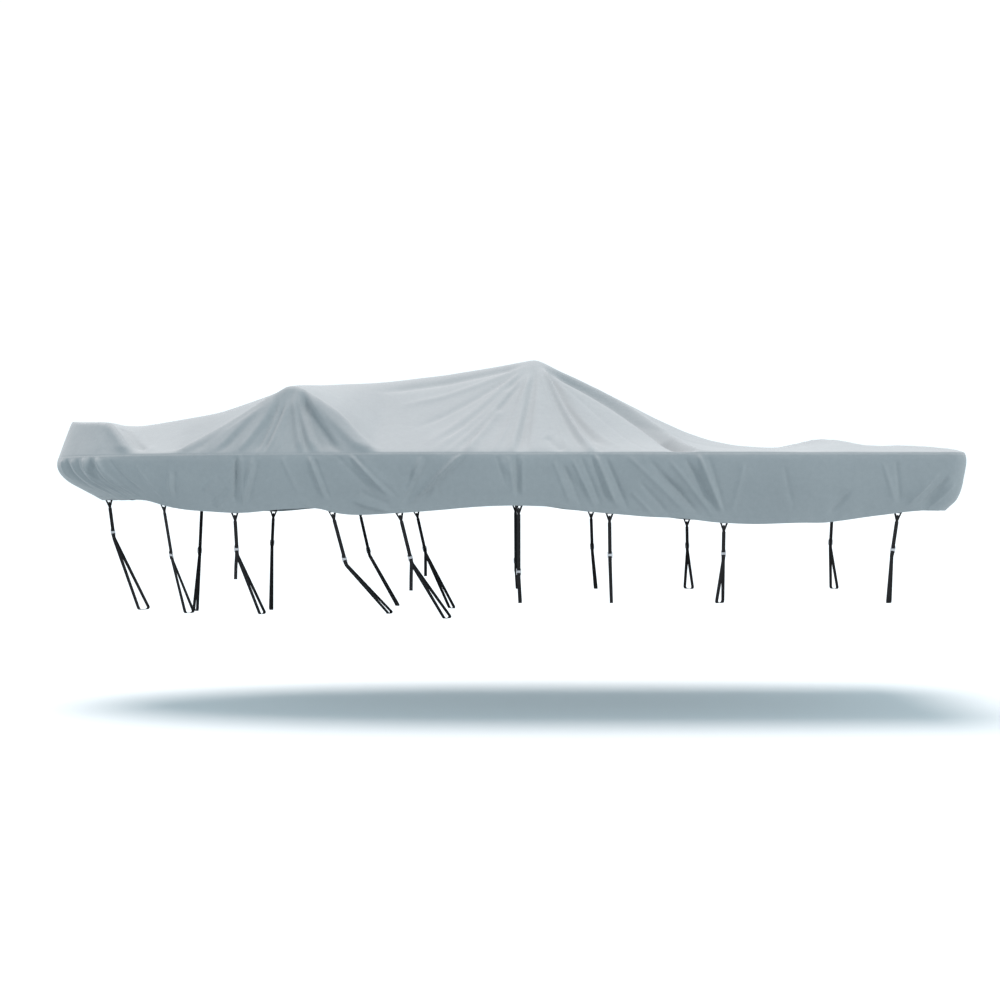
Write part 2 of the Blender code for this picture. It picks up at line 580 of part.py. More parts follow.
def top_normal(plan):
    """Upward normals of the top sheet."""
    step = 0.004
    x, y = plan[:, 0], plan[:, 1]
    slope_x = (top_height(x + step, y) - top_height(x - step, y)) / (2 * step)
    slope_y = (top_height(x, y + step) - top_height(x, y - step)) / (2 * step)
    normal = np.column_stack([-slope_x, -slope_y, np.ones(len(plan))])
    return normal / np.linalg.norm(normal, axis=1, keepdims=True)


POLE_SPOT = np.array([[0.0, 0.0]])
POLE_HEAD = (top_point(POLE_SPOT) - CLOTH * top_normal(POLE_SPOT))[0]


# ---------------------------------------------------------------- nets of triangles

class Net:
    """Points of a plane to be joined into triangles: a border, then points no closer than asked."""

    def __init__(self, border):
        self.border = len(border)
        self.points = [tuple(p) for p in border]

    def add(self, points, clear):
        for p in points:
            here = np.array(self.points)
            if np.min(np.hypot(here[:, 0] - p[0], here[:, 1] - p[1])) > clear:
                self.points.append((float(p[0]), float(p[1])))

    def triangles(self):
        """Triangles inside the border, as indices into the points."""
        loop = [(i, (i + 1) % self.border) for i in range(self.border)]
        flat = [Vector(p) for p in self.points]
        _, _, faces, origin, _, _ = delaunay_2d_cdt(flat, loop, [], 1, 1e-6)
        index = [first[0] for first in origin]
        return [tuple(index[i] for i in face) for face in faces]


def fold_lines(fold, length_scale=1.0):
    """A fold's crest and the feet at its sides, as three rows of points."""
    run = np.array([fold.x1 - fold.x0, (fold.y1 - fold.y0) * length_scale])
    length = math.hypot(*run)
    side = np.array([run[1], -run[0]]) / length
    count = max(2, round(length / FOLD_STEP))
    rows = []
    for offset in (0.0, FOLD_FEET, -FOLD_FEET):
        row = []
        for t in np.linspace(FOLD_START, 1.0, count + 1):
            breadth = max(fold.width * (fold.head + (1.0 - fold.head) * t), LEAST_BREADTH)
            at = run * t + side * (fold.swing * 4.0 * t * (1.0 - t) + offset * breadth)
            row.append((fold.x0 + at[0], fold.y0 + at[1] / length_scale))
        rows.append(row)
    return rows


def grid(low, high, step):
    """A wide net of points, every other row set half a step along."""
    rows = []
    for j, v in enumerate(np.arange(low[1] + step / 2, high[1], step * 0.87)):
        rows += [(u, v) for u in np.arange(low[0] + step * (0.5 + 0.5 * (j % 2)), high[0], step)]
    return rows


def panel(name, outer, inner, faces, material):
    """One closed sheet from its outer and inner points and the triangles over them."""
    edges = {}
    for a, b, c in faces:
        for edge in ((a, b), (b, c), (c, a)):
            edges[edge] = edges.get(edge, 0) + 1
    rim = [edge for edge in edges if (edge[1], edge[0]) not in edges]
    count = len(outer)
    shape = [*faces, *((c + count, b + count, a + count) for a, b, c in faces)]
    shape += [(b, a, a + count, b + count) for a, b in rim]
    mesh = bpy.data.meshes.new(name)
    mesh.from_pydata([*map(tuple, outer), *map(tuple, inner)], [], shape)
    return finished(name, mesh, material)


def finished(name, mesh, material):
    """The object of a closed mesh: facing out, in triangles, and shaded smooth."""
    bm = bmesh.new()
    bm.from_mesh(mesh)
    bmesh.ops.triangulate(bm, faces=bm.faces)
    bmesh.ops.recalc_face_normals(bm, faces=bm.faces)
    bm.to_mesh(mesh)
    bm.free()
    mesh.materials.append(material)
    mesh.shade_smooth()
    mesh.set_sharp_from_angle(angle=math.radians(40.0))
    obj = bpy.data.objects.new(name, mesh)
    bpy.context.scene.collection.objects.link(obj)
    return obj


def lower(points):
    """From heights over the gunwale to the part's own frame."""
    return np.asarray(points, float) - POLE_HEAD


# ---------------------------------------------------------------- the four panels

def shoulder_points():
    """Where the taut sheet breaks into the drop, straight in from points along the gunwale."""
    along = np.arange(0.0, SEAM.length / 2, SHOULDER_STEP)
    seam = SEAM.point(along)
    found = []
    for spot, length in zip(seam, along):
        way = seam_way(length + 1e-3)
        line = spot + np.array([-way[1], way[0]]) * np.linspace(0.0, 0.5, 300)[:, None]
        sheet, drop, _ = sheet_and_drop(line[:, 0], line[:, 1])
        over = np.flatnonzero(drop > sheet)
        if len(over) and sheet[over[0]] > SHOULDER_LEAST:
            found.append(line[over[0]])
    return found


def top_panel(material):
    seam, _ = seam_points()
    border = np.vstack([seam, seam[-2:0:-1] * (1.0, -1.0)])
    net = Net(border)
    net.add([(0.0, 0.0)], 0.01)
    net.add([(x, 0.0) for x in np.arange(BOW_X + RIDGE_STEP, STERN_X, RIDGE_STEP)], RIDGE_STEP / 2)
    for radius in POLE_RINGS:
        turns = np.arange(8) * math.pi / 4
        net.add([(radius * math.cos(t), radius * math.sin(t)) for t in turns], radius / 2)
    shoulder = shoulder_points()
    for side in (-1, 1):
        net.add([(p[0], abs(p[1]) * side) for p in shoulder], CREST_CLEAR)
    for row in range(3):
        for side in (-1, 1):
            for fold in mirrored_folds(TOP_FOLDS, side):
                line = [(x, y * side) for x, y in fold_lines(fold)[row] if inset(x, y) > RIM_CLEAR]
                net.add(line, CREST_CLEAR if row == 0 else FEET_CLEAR)
    spread = grid((BOW_X, -HALF_BEAM), (STERN_X, HALF_BEAM), NET_GRID)
    net.add([p for p in spread if inset(*p) > 2 * RIM_CLEAR], GRID_CLEAR)
    plan = np.array(net.points)
    outer = top_point(plan)
    normal = top_normal(plan)
    inner = outer - CLOTH * normal
    out, up, stretch = gunwale_frame(border)
    edge = slice(0, len(border))
    outer[edge] += up * SEAM_GAP / 2
    inner[edge] = outer[edge] - CLOTH * stretch * out
    return panel("top_panel", lower(outer), lower(inner), net.triangles(), material)


def skirt_panel(name, stations, ends, folds, material):
    """A skirt under these lengths along the seam. ends: the sideways gap at its two ends."""
    hem = sorted({*stations.tolist(), *(
        t + dx for t in tie_spots() for dx in (-TIE_NET_HALF, TIE_NET_HALF)
        if stations[0] + 0.05 < t < stations[-1] - 0.05
    )})
    hem = [h for i, h in enumerate(hem) if clear_of_ties(h) or i in (0, len(hem) - 1)]
    height = NET_DEPTH
    border = [(a, 0.0) for a in stations]
    border += [(stations[-1], share * height) for share in SKIRT_SHARES]
    border += [(a, height) for a in reversed(hem)]
    border += [(stations[0], share * height) for share in reversed(SKIRT_SHARES)]
    net = Net(border)
    inside = (stations[0] + RIM_CLEAR, stations[-1] - RIM_CLEAR)
    ties = [t for t in tie_spots() if inside[0] < t < inside[1]]
    net.add([(t + dx, height - TIE_NET_RISE)
             for t in ties for dx in (-TIE_NET_HALF, TIE_NET_HALF)], 0.01)
    for row in range(3):
        for lines in folds:
            line = [(a, share * height) for a, share in lines[row]]
            line = [p for p in line if RIM_CLEAR < p[1] < height - RIM_CLEAR]
            net.add([p for p in line if inside[0] < p[0] < inside[1]], SKIRT_CLEAR[row > 0])
    for end in (0.0, SEAM.length):
        if min(abs(stations - end)) < 1e-6:
            net.add([(abs(end - NOSE_HALF), share * height) for share in SKIRT_SHARES], SKIRT_CLEAR[0])
    spread = grid((stations[0], 0.0), (stations[-1], height), NET_GRID)
    spread = [p for p in spread if RIM_CLEAR < p[1] < height - RIM_CLEAR]
    net.add([p for p in spread if inside[0] < p[0] < inside[1]], GRID_CLEAR)
    spot = np.array(net.points) / (1.0, height)
    outer, normal = skirt_point(spot), skirt_normal(spot)
    at_stem = np.minimum(spot[:, 0], SEAM.length - spot[:, 0]) < 1e-6
    normal[at_stem, 1] = 0.0
    normal /= np.linalg.norm(normal, axis=1, keepdims=True)
    inner = outer - CLOTH * normal
    on_seam = spot[:, 1] < 1e-9
    out, up, stretch = gunwale_frame(SEAM.point(spot[on_seam, 0]))
    outer[on_seam] -= up * SEAM_GAP / 2
    inner[on_seam] = outer[on_seam] - CLOTH * stretch * out
    for end, gap in zip((stations[0], stations[-1]), ends):
        here = np.abs(spot[:, 0] - end) < 1e-6
        outer[here] += gap
        inner[here] += gap
    return panel(name, lower(outer), lower(inner), net.triangles(), material)


def tie_spots():
    """Length along the seam of every side tie-down, both sides."""
    return [*tie_seams(), *(SEAM.length - t for t in tie_seams())]


def clear_of_ties(along):
    """Whether a point of the hem is one that a loop's edges need, or is clear of every loop."""
    away = [abs(along - t) for t in tie_spots()]
    return min(away) > 2 * TIE_NET_HALF or abs(min(away) - TIE_NET_HALF) < 1e-4


def skirts(material):
    """The two side skirts and the one across the transom."""
    seam, corner = seam_points()
    along = SEAM.along(seam)
    along[0], along[-1] = 0.0, SEAM.length / 2
    corner_gap = seam_way(along[corner]) * SEAM_GAP / 2
    for side, name in ((-1, "port"), (1, "starboard")):
        folds = []
        for fold in mirrored_folds(SKIRT_FOLDS, side):
            rows = []
            for row in fold_lines(fold, NET_DEPTH):
                plan = np.array([(x, -half_width(x)) for x, _ in row])
                at = SEAM.along(plan)
                at = at if side < 0 else SEAM.length - at
                rows.append([(a, share) for a, (_, share) in zip(at, row)])
            folds.append(rows)
        stem_gap = np.array([0.0, side * SEAM_GAP / 2, 0.0])
        if side < 0:
            stations, ends = along[:corner + 1], (stem_gap, -corner_gap)
        else:
            stations = SEAM.length - along[corner::-1]
            ends = (-corner_gap * (1.0, -1.0, 1.0), stem_gap)
        skirt_panel(f"skirt_{name}", stations, ends, folds, material)
    stations = np.concatenate([along[corner:], SEAM.length - along[-2:corner - 1:-1]])
    middle = SEAM.length / 2
    folds = [[[(middle + y, share) for y, share in row] for row in fold_lines(fold, NET_DEPTH)]
             for fold in TRANSOM_FOLDS]
    ends = (corner_gap, corner_gap * (1.0, -1.0, 1.0))
    skirt_panel("skirt_transom", stations, ends, folds, material)


# ---------------------------------------------------------------- tie-downs

def unit(vector):
    return np.asarray(vector, float) / np.linalg.norm(vector)


def within(point, corners):
    """Whether a point lies inside a convex outline."""
    turns = []
    for one, two in zip(corners, corners[1:] + corners[:1]):
        way, off = np.subtract(two, one), np.subtract(point, one)
        turns.append(way[0] * off[1] - way[1] * off[0])
    return min(turns) > 0.0 or max(turns) < 0.0


def plate_net(outline, holes):
    """The points of a flat outline with convex holes, and the triangles between them."""
    points, edges = [], []
    for corners in (outline, *holes):
        start = len(points)
        points += corners
        edges += [(start + i, start + (i + 1) % len(corners)) for i in range(len(corners))]
    _, _, faces, origin, _, _ = delaunay_2d_cdt([Vector(p) for p in points], edges, [], 1, 1e-7)
    faces = [tuple(origin[i][0] for i in face) for face in faces]
    kept = []
    for face in faces:
        middle = np.mean([points[i] for i in face], axis=0)
        if not any(within(middle, hole) for hole in holes):
            kept.append(face)
    return points, kept


class TieFrame:
    """Where a tie-down meets the hem: its axes across, down and out, and its tab's way up."""

    def __init__(self, tie, side):
        part = np.array([tie.part_x, tie.part_y * side, tie.part_z])
        half = LOOP_WIDTH / 2
        if tie.hem_x is None:
            spots = np.array([[0.0, 1.0], [0.0, 0.8]])
            hem, above = skirt_point(spots, False)
            stem = unit(above - hem)
            normal = skirt_normal(spots)[0] * (1.0, 0.0, 1.0)
            back = -unit(normal - stem * np.dot(normal, stem))
            self.tab_across = np.array([1.0, 0.0, 0.0])
            self.tab_up = np.array([0.0, 0.0, 1.0])
            self.tab_out = np.array([0.0, -1.0, 0.0])
            self.origin = hem + back * (CLOTH + TAB_CLEAR) + self.tab_across * half
            up_stem = stem * BOW_TAB
            self.tab_corners = [(up_stem[0] - half, up_stem[2]),
                                *((a * half, LOOP_TAB) for a in BOW_TAB_TOP)]
        else:
            along = tie_seams()[TIES.index(tie)]
            along = along if side < 0 else SEAM.length - along
            spots = [(along + a, 1.0 - up / NET_DEPTH)
                     for up in (0.0, TIE_NET_RISE) for a in (-TIE_NET_HALF, TIE_NET_HALF)]
            inner = skirt_point(spots) - CLOTH * skirt_normal(spots)
            hem, above = inner[:2].mean(axis=0), inner[2:].mean(axis=0)
            self.tab_up = unit(above - hem)
            self.tab_across = unit(inner[1] - inner[0])
            self.tab_out = unit(np.cross(self.tab_across, self.tab_up))
            self.tab_out *= np.sign(np.dot(self.tab_out, skirt_normal(spots)[0]))
            clear = np.min((inner - hem) @ self.tab_out) - TAB_CLEAR - WEBBING_THICK / 2
            self.origin = hem + self.tab_out * clear
            self.tab_corners = [(-half, LOOP_TAB), (half, LOOP_TAB)]
        self.down = unit(part - self.origin)
        self.out = unit(self.tab_out - self.down * np.dot(self.tab_out, self.down))
        self.across = unit(self.tab_across - self.down * np.dot(self.tab_across, self.down))
        self.across = unit(self.across - self.out * np.dot(self.across, self.out))
        self.length = np.linalg.norm(part - self.origin)

    def at(self, across, down, out):
        """A point of the hanging part."""
        return self.origin + self.across * across + self.down * down + self.out * out

    def tab(self, across, up, out):
        """A point of the part that is sewn inside the hem."""
        return self.origin + self.tab_across * across + self.tab_up * up + self.tab_out * out


def loop(name, frame, material):
    """The sewn loop: two legs drawn down to a point by the strap."""
    half = LOOP_WIDTH / 2
    outline = [(-half, 0.0), *((a, -up) for a, up in frame.tab_corners), (half, 0.0),
               (LOOP_TIP, LOOP_DROP), (-LOOP_TIP, LOOP_DROP)]
    top, bottom = LOOP_HOLE
    hole = [(half - LOOP_LEG, top), (0.0, bottom), (LOOP_LEG - half, top)]
    points, faces = plate_net(outline, [hole])
    sides = []
    for out in (WEBBING_THICK / 2, -WEBBING_THICK / 2):
        side = []
        for a, d in points:
            side.append(frame.at(a, d, out) if d > 0.0 else frame.tab(a, -d, out))
        sides.append(lower(side))
    return panel(name, sides[0], sides[1], faces, material)


def strap_path(tie, frame, side):
    """The strap from its sewn end at the buckle round to its free tail.

    Rows of point, width and the way that the width lies.
    """
    buckle = frame.length - BUCKLE_ABOVE
    slot = BUCKLE_SLOT_AT
    front = BUCKLE_BACK + BUCKLE[2] + FRONT_CLEAR
    edge = front - FRONT_CLEAR + SLOT_REST
    sewn_end = [
        (buckle - slot - SEWN_END, front, WEBBING), (buckle - slot - SLOT_EASE, front, WEBBING),
        (buckle - slot, edge, WEBBING), (buckle - slot, BUCKLE_BACK, WEBBING),
        (buckle - slot - SLOT_DROP, RUN_OFFSET, WEBBING),
    ]
    up_to_loop = [(down, out, width) for down, out, width in LOOP_PASS]
    down_again = [(down, -out, width) for down, out, width in reversed(LOOP_PASS[:-1])]
    hanging = [*sewn_end, *up_to_loop, *down_again, (frame.length - PART_EASE, -RUN_OFFSET, WEBBING)]
    rows = [(frame.at(0.0, down, out), width, frame.across) for down, out, width in hanging]
    fore_aft = np.array([1.0, 0.0, 0.0]) * np.sign(frame.across[0])
    near = np.array([tie.near_x, tie.near_y * side, tie.foot_z])
    far = np.array([tie.far_x, tie.far_y * side, tie.foot_z])
    round_rail = (far - near) * RAIL_EASE
    droop = np.array([0.0, 0.0, -RAIL_DROOP])
    for at in (far, far - round_rail + droop, near + round_rail + droop, near):
        rows.append((at, STRAND, fore_aft))
    up_to_buckle = [
        (frame.length + PART_EASE, RUN_OFFSET, WEBBING), (buckle + slot + SLOT_DROP, RUN_OFFSET, WEBBING),
        (buckle + slot, BUCKLE_BACK, WEBBING), (buckle + slot, edge, WEBBING),
        (buckle + slot + SLOT_EASE, front, WEBBING), (buckle + TAIL_FLAT, front + 0.001, WEBBING),
    ]
    rows += [(frame.at(0.0, down, out), width, frame.across) for down, out, width in up_to_buckle]
    hangs = tie.tail - TAIL_SHORT
    if hangs > TAIL_LEAST:
        start = rows[-1][0]
        fall = (np.array([0.0, 0.0, -1.0]) + TAIL_KICK * frame.out) * hangs
        rows.append((start + fall / 2 + TAIL_BELLY * frame.out, WEBBING, frame.across))
        rows.append((start + fall, WEBBING, frame.across))
    return rows


def strap(name, rows, material):
    """A flat strip swept along its path as one closed solid."""
    path = np.array([row[0] for row in rows])
    legs = np.diff(path, axis=0)
    legs /= np.linalg.norm(legs, axis=1, keepdims=True)
    into, away = np.vstack([legs[:1], legs]), np.vstack([legs, legs[-1:]])
    points = []
    for (at, width, across), one, two in zip(rows, into, away):
        tangent = unit(one + two)
        side = unit(across - tangent * np.dot(across, tangent))
        thick = np.cross(tangent, side) * WEBBING_THICK / 2
        thick /= max(np.dot(tangent, one), SHARPEST_BEND)
        corners = (-1, -1), (1, -1), (1, 1), (-1, 1)
        points += [at + side * width * a / 2 + thick * b for a, b in corners]
    faces = [(3, 2, 1, 0), tuple(len(points) - 4 + i for i in range(4))]
    for ring in range(len(rows) - 1):
        start = ring * 4
        for one, two in ((0, 1), (1, 2), (2, 3), (3, 0)):
            faces.append((start + one, start + two, start + 4 + two, start + 4 + one))
    mesh = bpy.data.meshes.new(name)
    mesh.from_pydata([tuple(p) for p in lower(points)], [], faces)
    return finished(name, mesh, material)


def buckle(name, frame, material):
    """A flat slide with two slots."""
    half_w, half_h = BUCKLE[0] / 2, BUCKLE[1] / 2
    outline = [(-half_w, -half_h), (half_w, -half_h), (half_w, half_h), (-half_w, half_h)]
    slot_w, slot_h = BUCKLE_SLOT[0] / 2, BUCKLE_SLOT[1] / 2
    slots = []
    for at in (-BUCKLE_SLOT_AT, BUCKLE_SLOT_AT):
        low, high = at - slot_h, at + slot_h
        slots.append([(-slot_w, low), (slot_w, low), (slot_w, high), (-slot_w, high)])
    points, faces = plate_net(outline, slots)
    centre = frame.length - BUCKLE_ABOVE
    sides = [lower([frame.at(a, centre + d, out) for a, d in points])
             for out in (BUCKLE_BACK + BUCKLE[2], BUCKLE_BACK)]
    return panel(name, sides[0], sides[1], faces, material)


def tie_down(tie, side, label, webbing, hardware):
    """A loop, its strap and its buckle. side: -1 is port, and so is the side the bow's buckle faces."""
    frame = TieFrame(tie, side)
    loop(f"loop_{label}", frame, webbing)
    strap(f"strap_{label}", strap_path(tie, frame, side), webbing)
    buckle(f"buckle_{label}", frame, hardware)


# ---------------------------------------------------------------- the whole cover

def plain_material(name, colour, roughness, metallic=0.0):
    material = bpy.data.materials.new(name)
    material.use_nodes = True
    shader = material.node_tree.nodes["Principled BSDF"]
    shader.inputs["Base Color"].default_value = (*colour, 1.0)
    shader.inputs["Roughness"].default_value = roughness
    shader.inputs["Metallic"].default_value = metallic
    return material


def build():
    for obj in list(bpy.data.objects):
        bpy.data.objects.remove(obj, do_unlink=True)
    canvas = plain_material("canvas", (0.30, 0.34, 0.37), 0.85)
    webbing = plain_material("webbing", (0.012, 0.012, 0.014), 0.7)
    hardware = plain_material("buckle", (0.35, 0.36, 0.38), 0.4, 0.8)
    top_panel(canvas)
    skirts(canvas)
    tie_down(BOW_TIE, -1, "bow", webbing, hardware)
    for side, name in ((-1, "port"), (1, "starboard")):
        for tie in TIES:
            tie_down(tie, side, f"{name}_{tie.name}", webbing, hardware)


build()
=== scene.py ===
"""The fitted boat cover, dressed: fine cloth with its creases, hem, seams and sewing, and its
webbing tie-downs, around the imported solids. Heights run from the gunwale until lower()."""

import json
import math
from collections import namedtuple
from functools import cache

import bmesh
import bpy
import numpy as np
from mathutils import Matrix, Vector, noise
from mathutils.geometry import delaunay_2d_cdt

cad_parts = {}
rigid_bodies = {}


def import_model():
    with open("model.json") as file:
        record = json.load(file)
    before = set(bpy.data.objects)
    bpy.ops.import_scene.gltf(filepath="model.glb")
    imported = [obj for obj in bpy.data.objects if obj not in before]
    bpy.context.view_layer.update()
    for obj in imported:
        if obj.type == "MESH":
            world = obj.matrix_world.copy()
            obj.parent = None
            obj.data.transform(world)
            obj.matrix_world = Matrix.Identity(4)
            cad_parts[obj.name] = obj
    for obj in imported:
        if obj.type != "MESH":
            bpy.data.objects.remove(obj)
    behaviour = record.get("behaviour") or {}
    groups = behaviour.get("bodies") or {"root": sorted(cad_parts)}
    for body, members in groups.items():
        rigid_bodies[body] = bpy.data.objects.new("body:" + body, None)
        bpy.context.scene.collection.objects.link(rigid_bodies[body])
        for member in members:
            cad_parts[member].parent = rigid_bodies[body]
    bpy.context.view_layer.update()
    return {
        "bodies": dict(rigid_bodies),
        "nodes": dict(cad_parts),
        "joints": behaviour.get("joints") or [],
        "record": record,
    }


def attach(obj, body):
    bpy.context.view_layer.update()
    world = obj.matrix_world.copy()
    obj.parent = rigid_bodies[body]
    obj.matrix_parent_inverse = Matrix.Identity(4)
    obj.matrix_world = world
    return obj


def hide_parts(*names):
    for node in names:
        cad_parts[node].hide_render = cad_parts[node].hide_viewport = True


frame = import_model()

# ---- camera, floor, light

CAMERA_AT = (-0.30, -12.0, -1.198)
FOCAL = 1417.0  # focal length, in pixels of a frame 1000 pixels wide
GROUND = -2.88  # height of the ground under the trailer's wheels
FLOOR_HALF = 400.0  # so wide that its edge is at the horizon


def linked(name, data):
    """A new object of the scene."""
    obj = bpy.data.objects.new(name, data)
    bpy.context.scene.collection.objects.link(obj)
    return obj


def box(half, low, high):
    """The corners of a rectangle."""
    return [(-half, low), (half, low), (half, high), (-half, high)]


def camera():
    """A level camera, square on to the port side."""
    data = bpy.data.cameras.new("camera")
    data.sensor_width = 36.0
    data.lens = FOCAL * data.sensor_width / 1000.0
    data.shift_y = 0.002
    data.clip_end = 1000.0
    obj = linked("camera", data)
    obj.location = CAMERA_AT
    obj.rotation_euler = (math.radians(90.0), 0.0, 0.0)
    bpy.context.scene.camera = obj


def soft_sun(name, towards, spread, power, colour):
    """A far light with a wide, soft disc. towards: the way from the object to the light."""
    data = bpy.data.lights.new(name, "SUN")
    data.angle = math.radians(spread)
    data.energy = power
    data.color = colour
    linked(name, data).rotation_euler = Vector(towards).to_track_quat("Z", "Y").to_euler()


def studio():
    """A plain pale floor, a pale sky and two soft suns."""
    world = bpy.data.worlds.new("studio")
    bpy.context.scene.world = world
    world.use_nodes = True
    sky = world.node_tree.nodes["Background"].inputs
    sky["Color"].default_value = (0.86, 0.95, 1.0, 1.0)
    sky["Strength"].default_value = 1.2
    bpy.context.scene.view_settings.view_transform = "Standard"
    mesh = bpy.data.meshes.new("floor")
    corners = [(x, y, GROUND) for x, y in box(FLOOR_HALF, -FLOOR_HALF, FLOOR_HALF)]
    mesh.from_pydata(corners, [], [(0, 1, 2, 3)])
    mesh.materials.append(Look("floor").made(Base_Color=(0.45, 0.52, 0.55, 1.0), Roughness=0.9))
    linked("floor", mesh)
    soft_sun("key", towards=(-0.16, 0.14, 1.0), spread=35.0, power=4.65, colour=(1.0, 0.815, 0.76))
    soft_sun("side", towards=(0.80, -0.56, 0.22), spread=9.0, power=1.25, colour=(1.0, 0.95, 0.92))


class Table:
    """Numbers in columns, written out as text under their names, read at the first column."""

    def __init__(self, text):
        names, *rows = text.strip().splitlines()
        self.rows = np.array([row.split() for row in rows], float)
        self.place = self.rows[:, 0]
        self.columns = dict(zip(names.split(), self.rows.T))

    def straight(self, column, at):
        """A column, straight from row to row."""
        return np.interp(at, self.place, self.columns[column])

    def smooth(self, column, at):
        """A column, on one smooth curve through its rows."""
        place, value = self.place, self.columns[column]
        slope = np.gradient(value, place)
        at = np.clip(at, place[0], place[-1])
        row = np.clip(np.searchsorted(place, at) - 1, 0, len(place) - 2)
        step = place[row + 1] - place[row]
        t = (at - place[row]) / step
        ease = t * t * (3.0 - 2.0 * t)
        bend = slope[row] * (1.0 - t) ** 2 * t - slope[row + 1] * t ** 2 * (1.0 - t)
        return value[row] * (1.0 - ease) + value[row + 1] * ease + bend * step


# ---- driving sizes

CLOTH = 0.002  # thickness of the cloth

BOW_X = -4.015  # foremost point of the gunwale
STERN_X = 3.30  # aft edge of the transom
HALF_BEAM = 1.22  # half the width at its widest
STERN_HALF_BEAM = 1.17  # half the width at the transom
FULL_BEAM_X = -0.33  # where the bow's curve reaches the full width
BOW_POWER = 2.2  # how full the bow's curve is
CORNER_RADIUS = 0.16  # stern corners, seen from above
BOW_FLAT = 0.006  # length cut off the very tip of the bow's curve

NET_DEPTH = 0.45  # the depth that the skirt's folds are laid out in
TIE_NET_HALF = 0.036  # the cloth is flat this far to each side of a tie-down
TIE_NET_RISE = 0.042  # and this far up from the hem
TIE_CALM = (0.05, 0.13)  # a fold dies out between these distances from a tie-down

# The top sheet's sections. crown: height on the centreline. edge: height that the sheet would
# have over the gunwale if it ran straight on. hollow: how far it hangs in between the two.
# steep: slope of the drop to the gunwale. ridge: how round the centreline is.
SECTIONS = Table("""
x crown edge hollow steep ridge
-4.03 .300 .300 .000 3.00 .30
-3.90 .303 .298 .000 2.80 .30
-3.75 .302 .284 .012 2.20 .30
-3.60 .300 .272 .008 2.15 .30
-3.47 .268 .262 .012 2.10 .30
-3.33 .266 .130 .010 2.00 .25
-3.20 .286 .012 .010 1.80 .20
-2.78 .360 .012 .022 1.60 .20
-2.62 .394 .085 .022 1.90 .22
-2.42 .462 .195 .020 2.20 .25
-2.23 .528 .310 .012 2.40 .30
-2.08 .584 .405 .004 2.40 .35
-1.98 .604 .510 .000 2.40 .35
-1.88 .606 .510 .000 2.40 .35
-1.80 .609 .460 .005 2.40 .33
-1.67 .618 .360 .014 2.30 .30
-1.55 .624 .280 .024 2.20 .27
-1.40 .632 .120 .034 1.90 .24
-1.26 .642 .012 .042 1.60 .20
-.76 .700 .012 .046 1.50 .12
-.30 .778 .012 .040 1.50 .09
-.08 .817 .012 .030 1.50 .06
.00 .834 .012 .028 1.50 .05
.07 .806 .012 .030 1.50 .06
.30 .686 .012 .042 1.50 .09
.71 .492 .012 .066 1.50 .12
.98 .350 .012 .060 1.50 .15
1.25 .224 .012 .034 1.50 .20
1.45 .152 .012 .016 1.50 .25
1.65 .106 .012 .004 1.50 .30
1.86 .084 .012 -.002 1.50 .35
2.00 .078 .008 -.006 1.50 .40
2.13 .106 .010 -.010 1.50 .40
2.32 .144 .012 -.012 1.50 .40
2.48 .146 .012 -.010 1.50 .40
2.62 .106 .012 -.010 1.50 .40
2.80 .100 .012 -.012 1.50 .40
3.10 .096 .012 -.008 1.60 .40
3.30 .086 .012 -.004 1.80 .40
""")
SECTION_BLUR = 0.05  # each section eases into the next over this length
PAST_EDGE = 1.2  # a section runs on to this share of the way from the centreline to the gunwale
LEAST_HALF = 0.02  # and at the very bow it is laid out as if that way were this long
SHOULDER = 0.030  # how soft the edge over the drop to the gunwale is
SHOULDER_MOST = 0.9  # and the most that it takes of the drop's height
DROP_REACH = (-0.04, 0.08)  # the sheet counts as the drop where it would be this far over it

# Depth of the skirt below the gunwale, from bow to stern.
HEM = Table("""
x depth
-4.03 .356
-3.55 .352
-3.30 .362
-3.10 .400
-2.85 .430
-2.60 .447
-2.34 .458
-1.93 .427
-1.67 .431
-1.60 .450
-1.08 .457
-.80 .438
-.46 .408
-.15 .400
.12 .413
.29 .438
.54 .461
.86 .486
1.10 .498
1.37 .530
1.65 .541
2.04 .532
2.19 .532
2.39 .508
2.63 .475
2.87 .446
3.30 .440
""")

# How the skirt draws in below the gunwale, following the hull. stem: back along the stem.
# flare: inboard, as a share of the half width. rake: forward from the transom.
DRAW_IN = Table("""
depth stem flare rake
.000 .000 .000 .000
.030 -.010 -.004 -.006
.075 -.012 -.003 -.006
.127 .006 .004 .000
.204 .082 .018 .010
.263 .185 .032 .017
.331 .315 .052 .036
.356 .364 .058 .048
.440 .500 .080 .127
.560 .640 .105 .210
""")
STEM_REACH = 1.7  # the stem's slope fades out over this length of the gunwale
STEM_POWER = 1.5  # and this much faster than a plain ease
RAKE_REACH = 0.55  # the transom's slope fades out over this
BOW_FLARE = 2.4  # the flare at the bow is this many times the one amidships

# Folds, each from its head to its foot, on the port side. width: half its breadth at the foot.
# head: its breadth at the head, as a share of that at the foot. rise: how far it stands out, or
# in if negative. swing: how far its middle swings aft, where it isn't straight.
Fold = namedtuple("Fold", "x0 y0 x1 y1 width head rise swing", defaults=(0.0,))
FOLD_UNITS = (100, 100, 100, 100, 1000, 10, 1000, 100)  # the rows are in cm, mm and tenths


def fold_rows(text):
    """Folds from rows of their numbers, in the order of Fold's fields."""
    rows = (zip(map(float, row.split()), FOLD_UNITS) for row in text.strip().splitlines())
    return [Fold(*(value / unit for value, unit in row)) for row in rows]


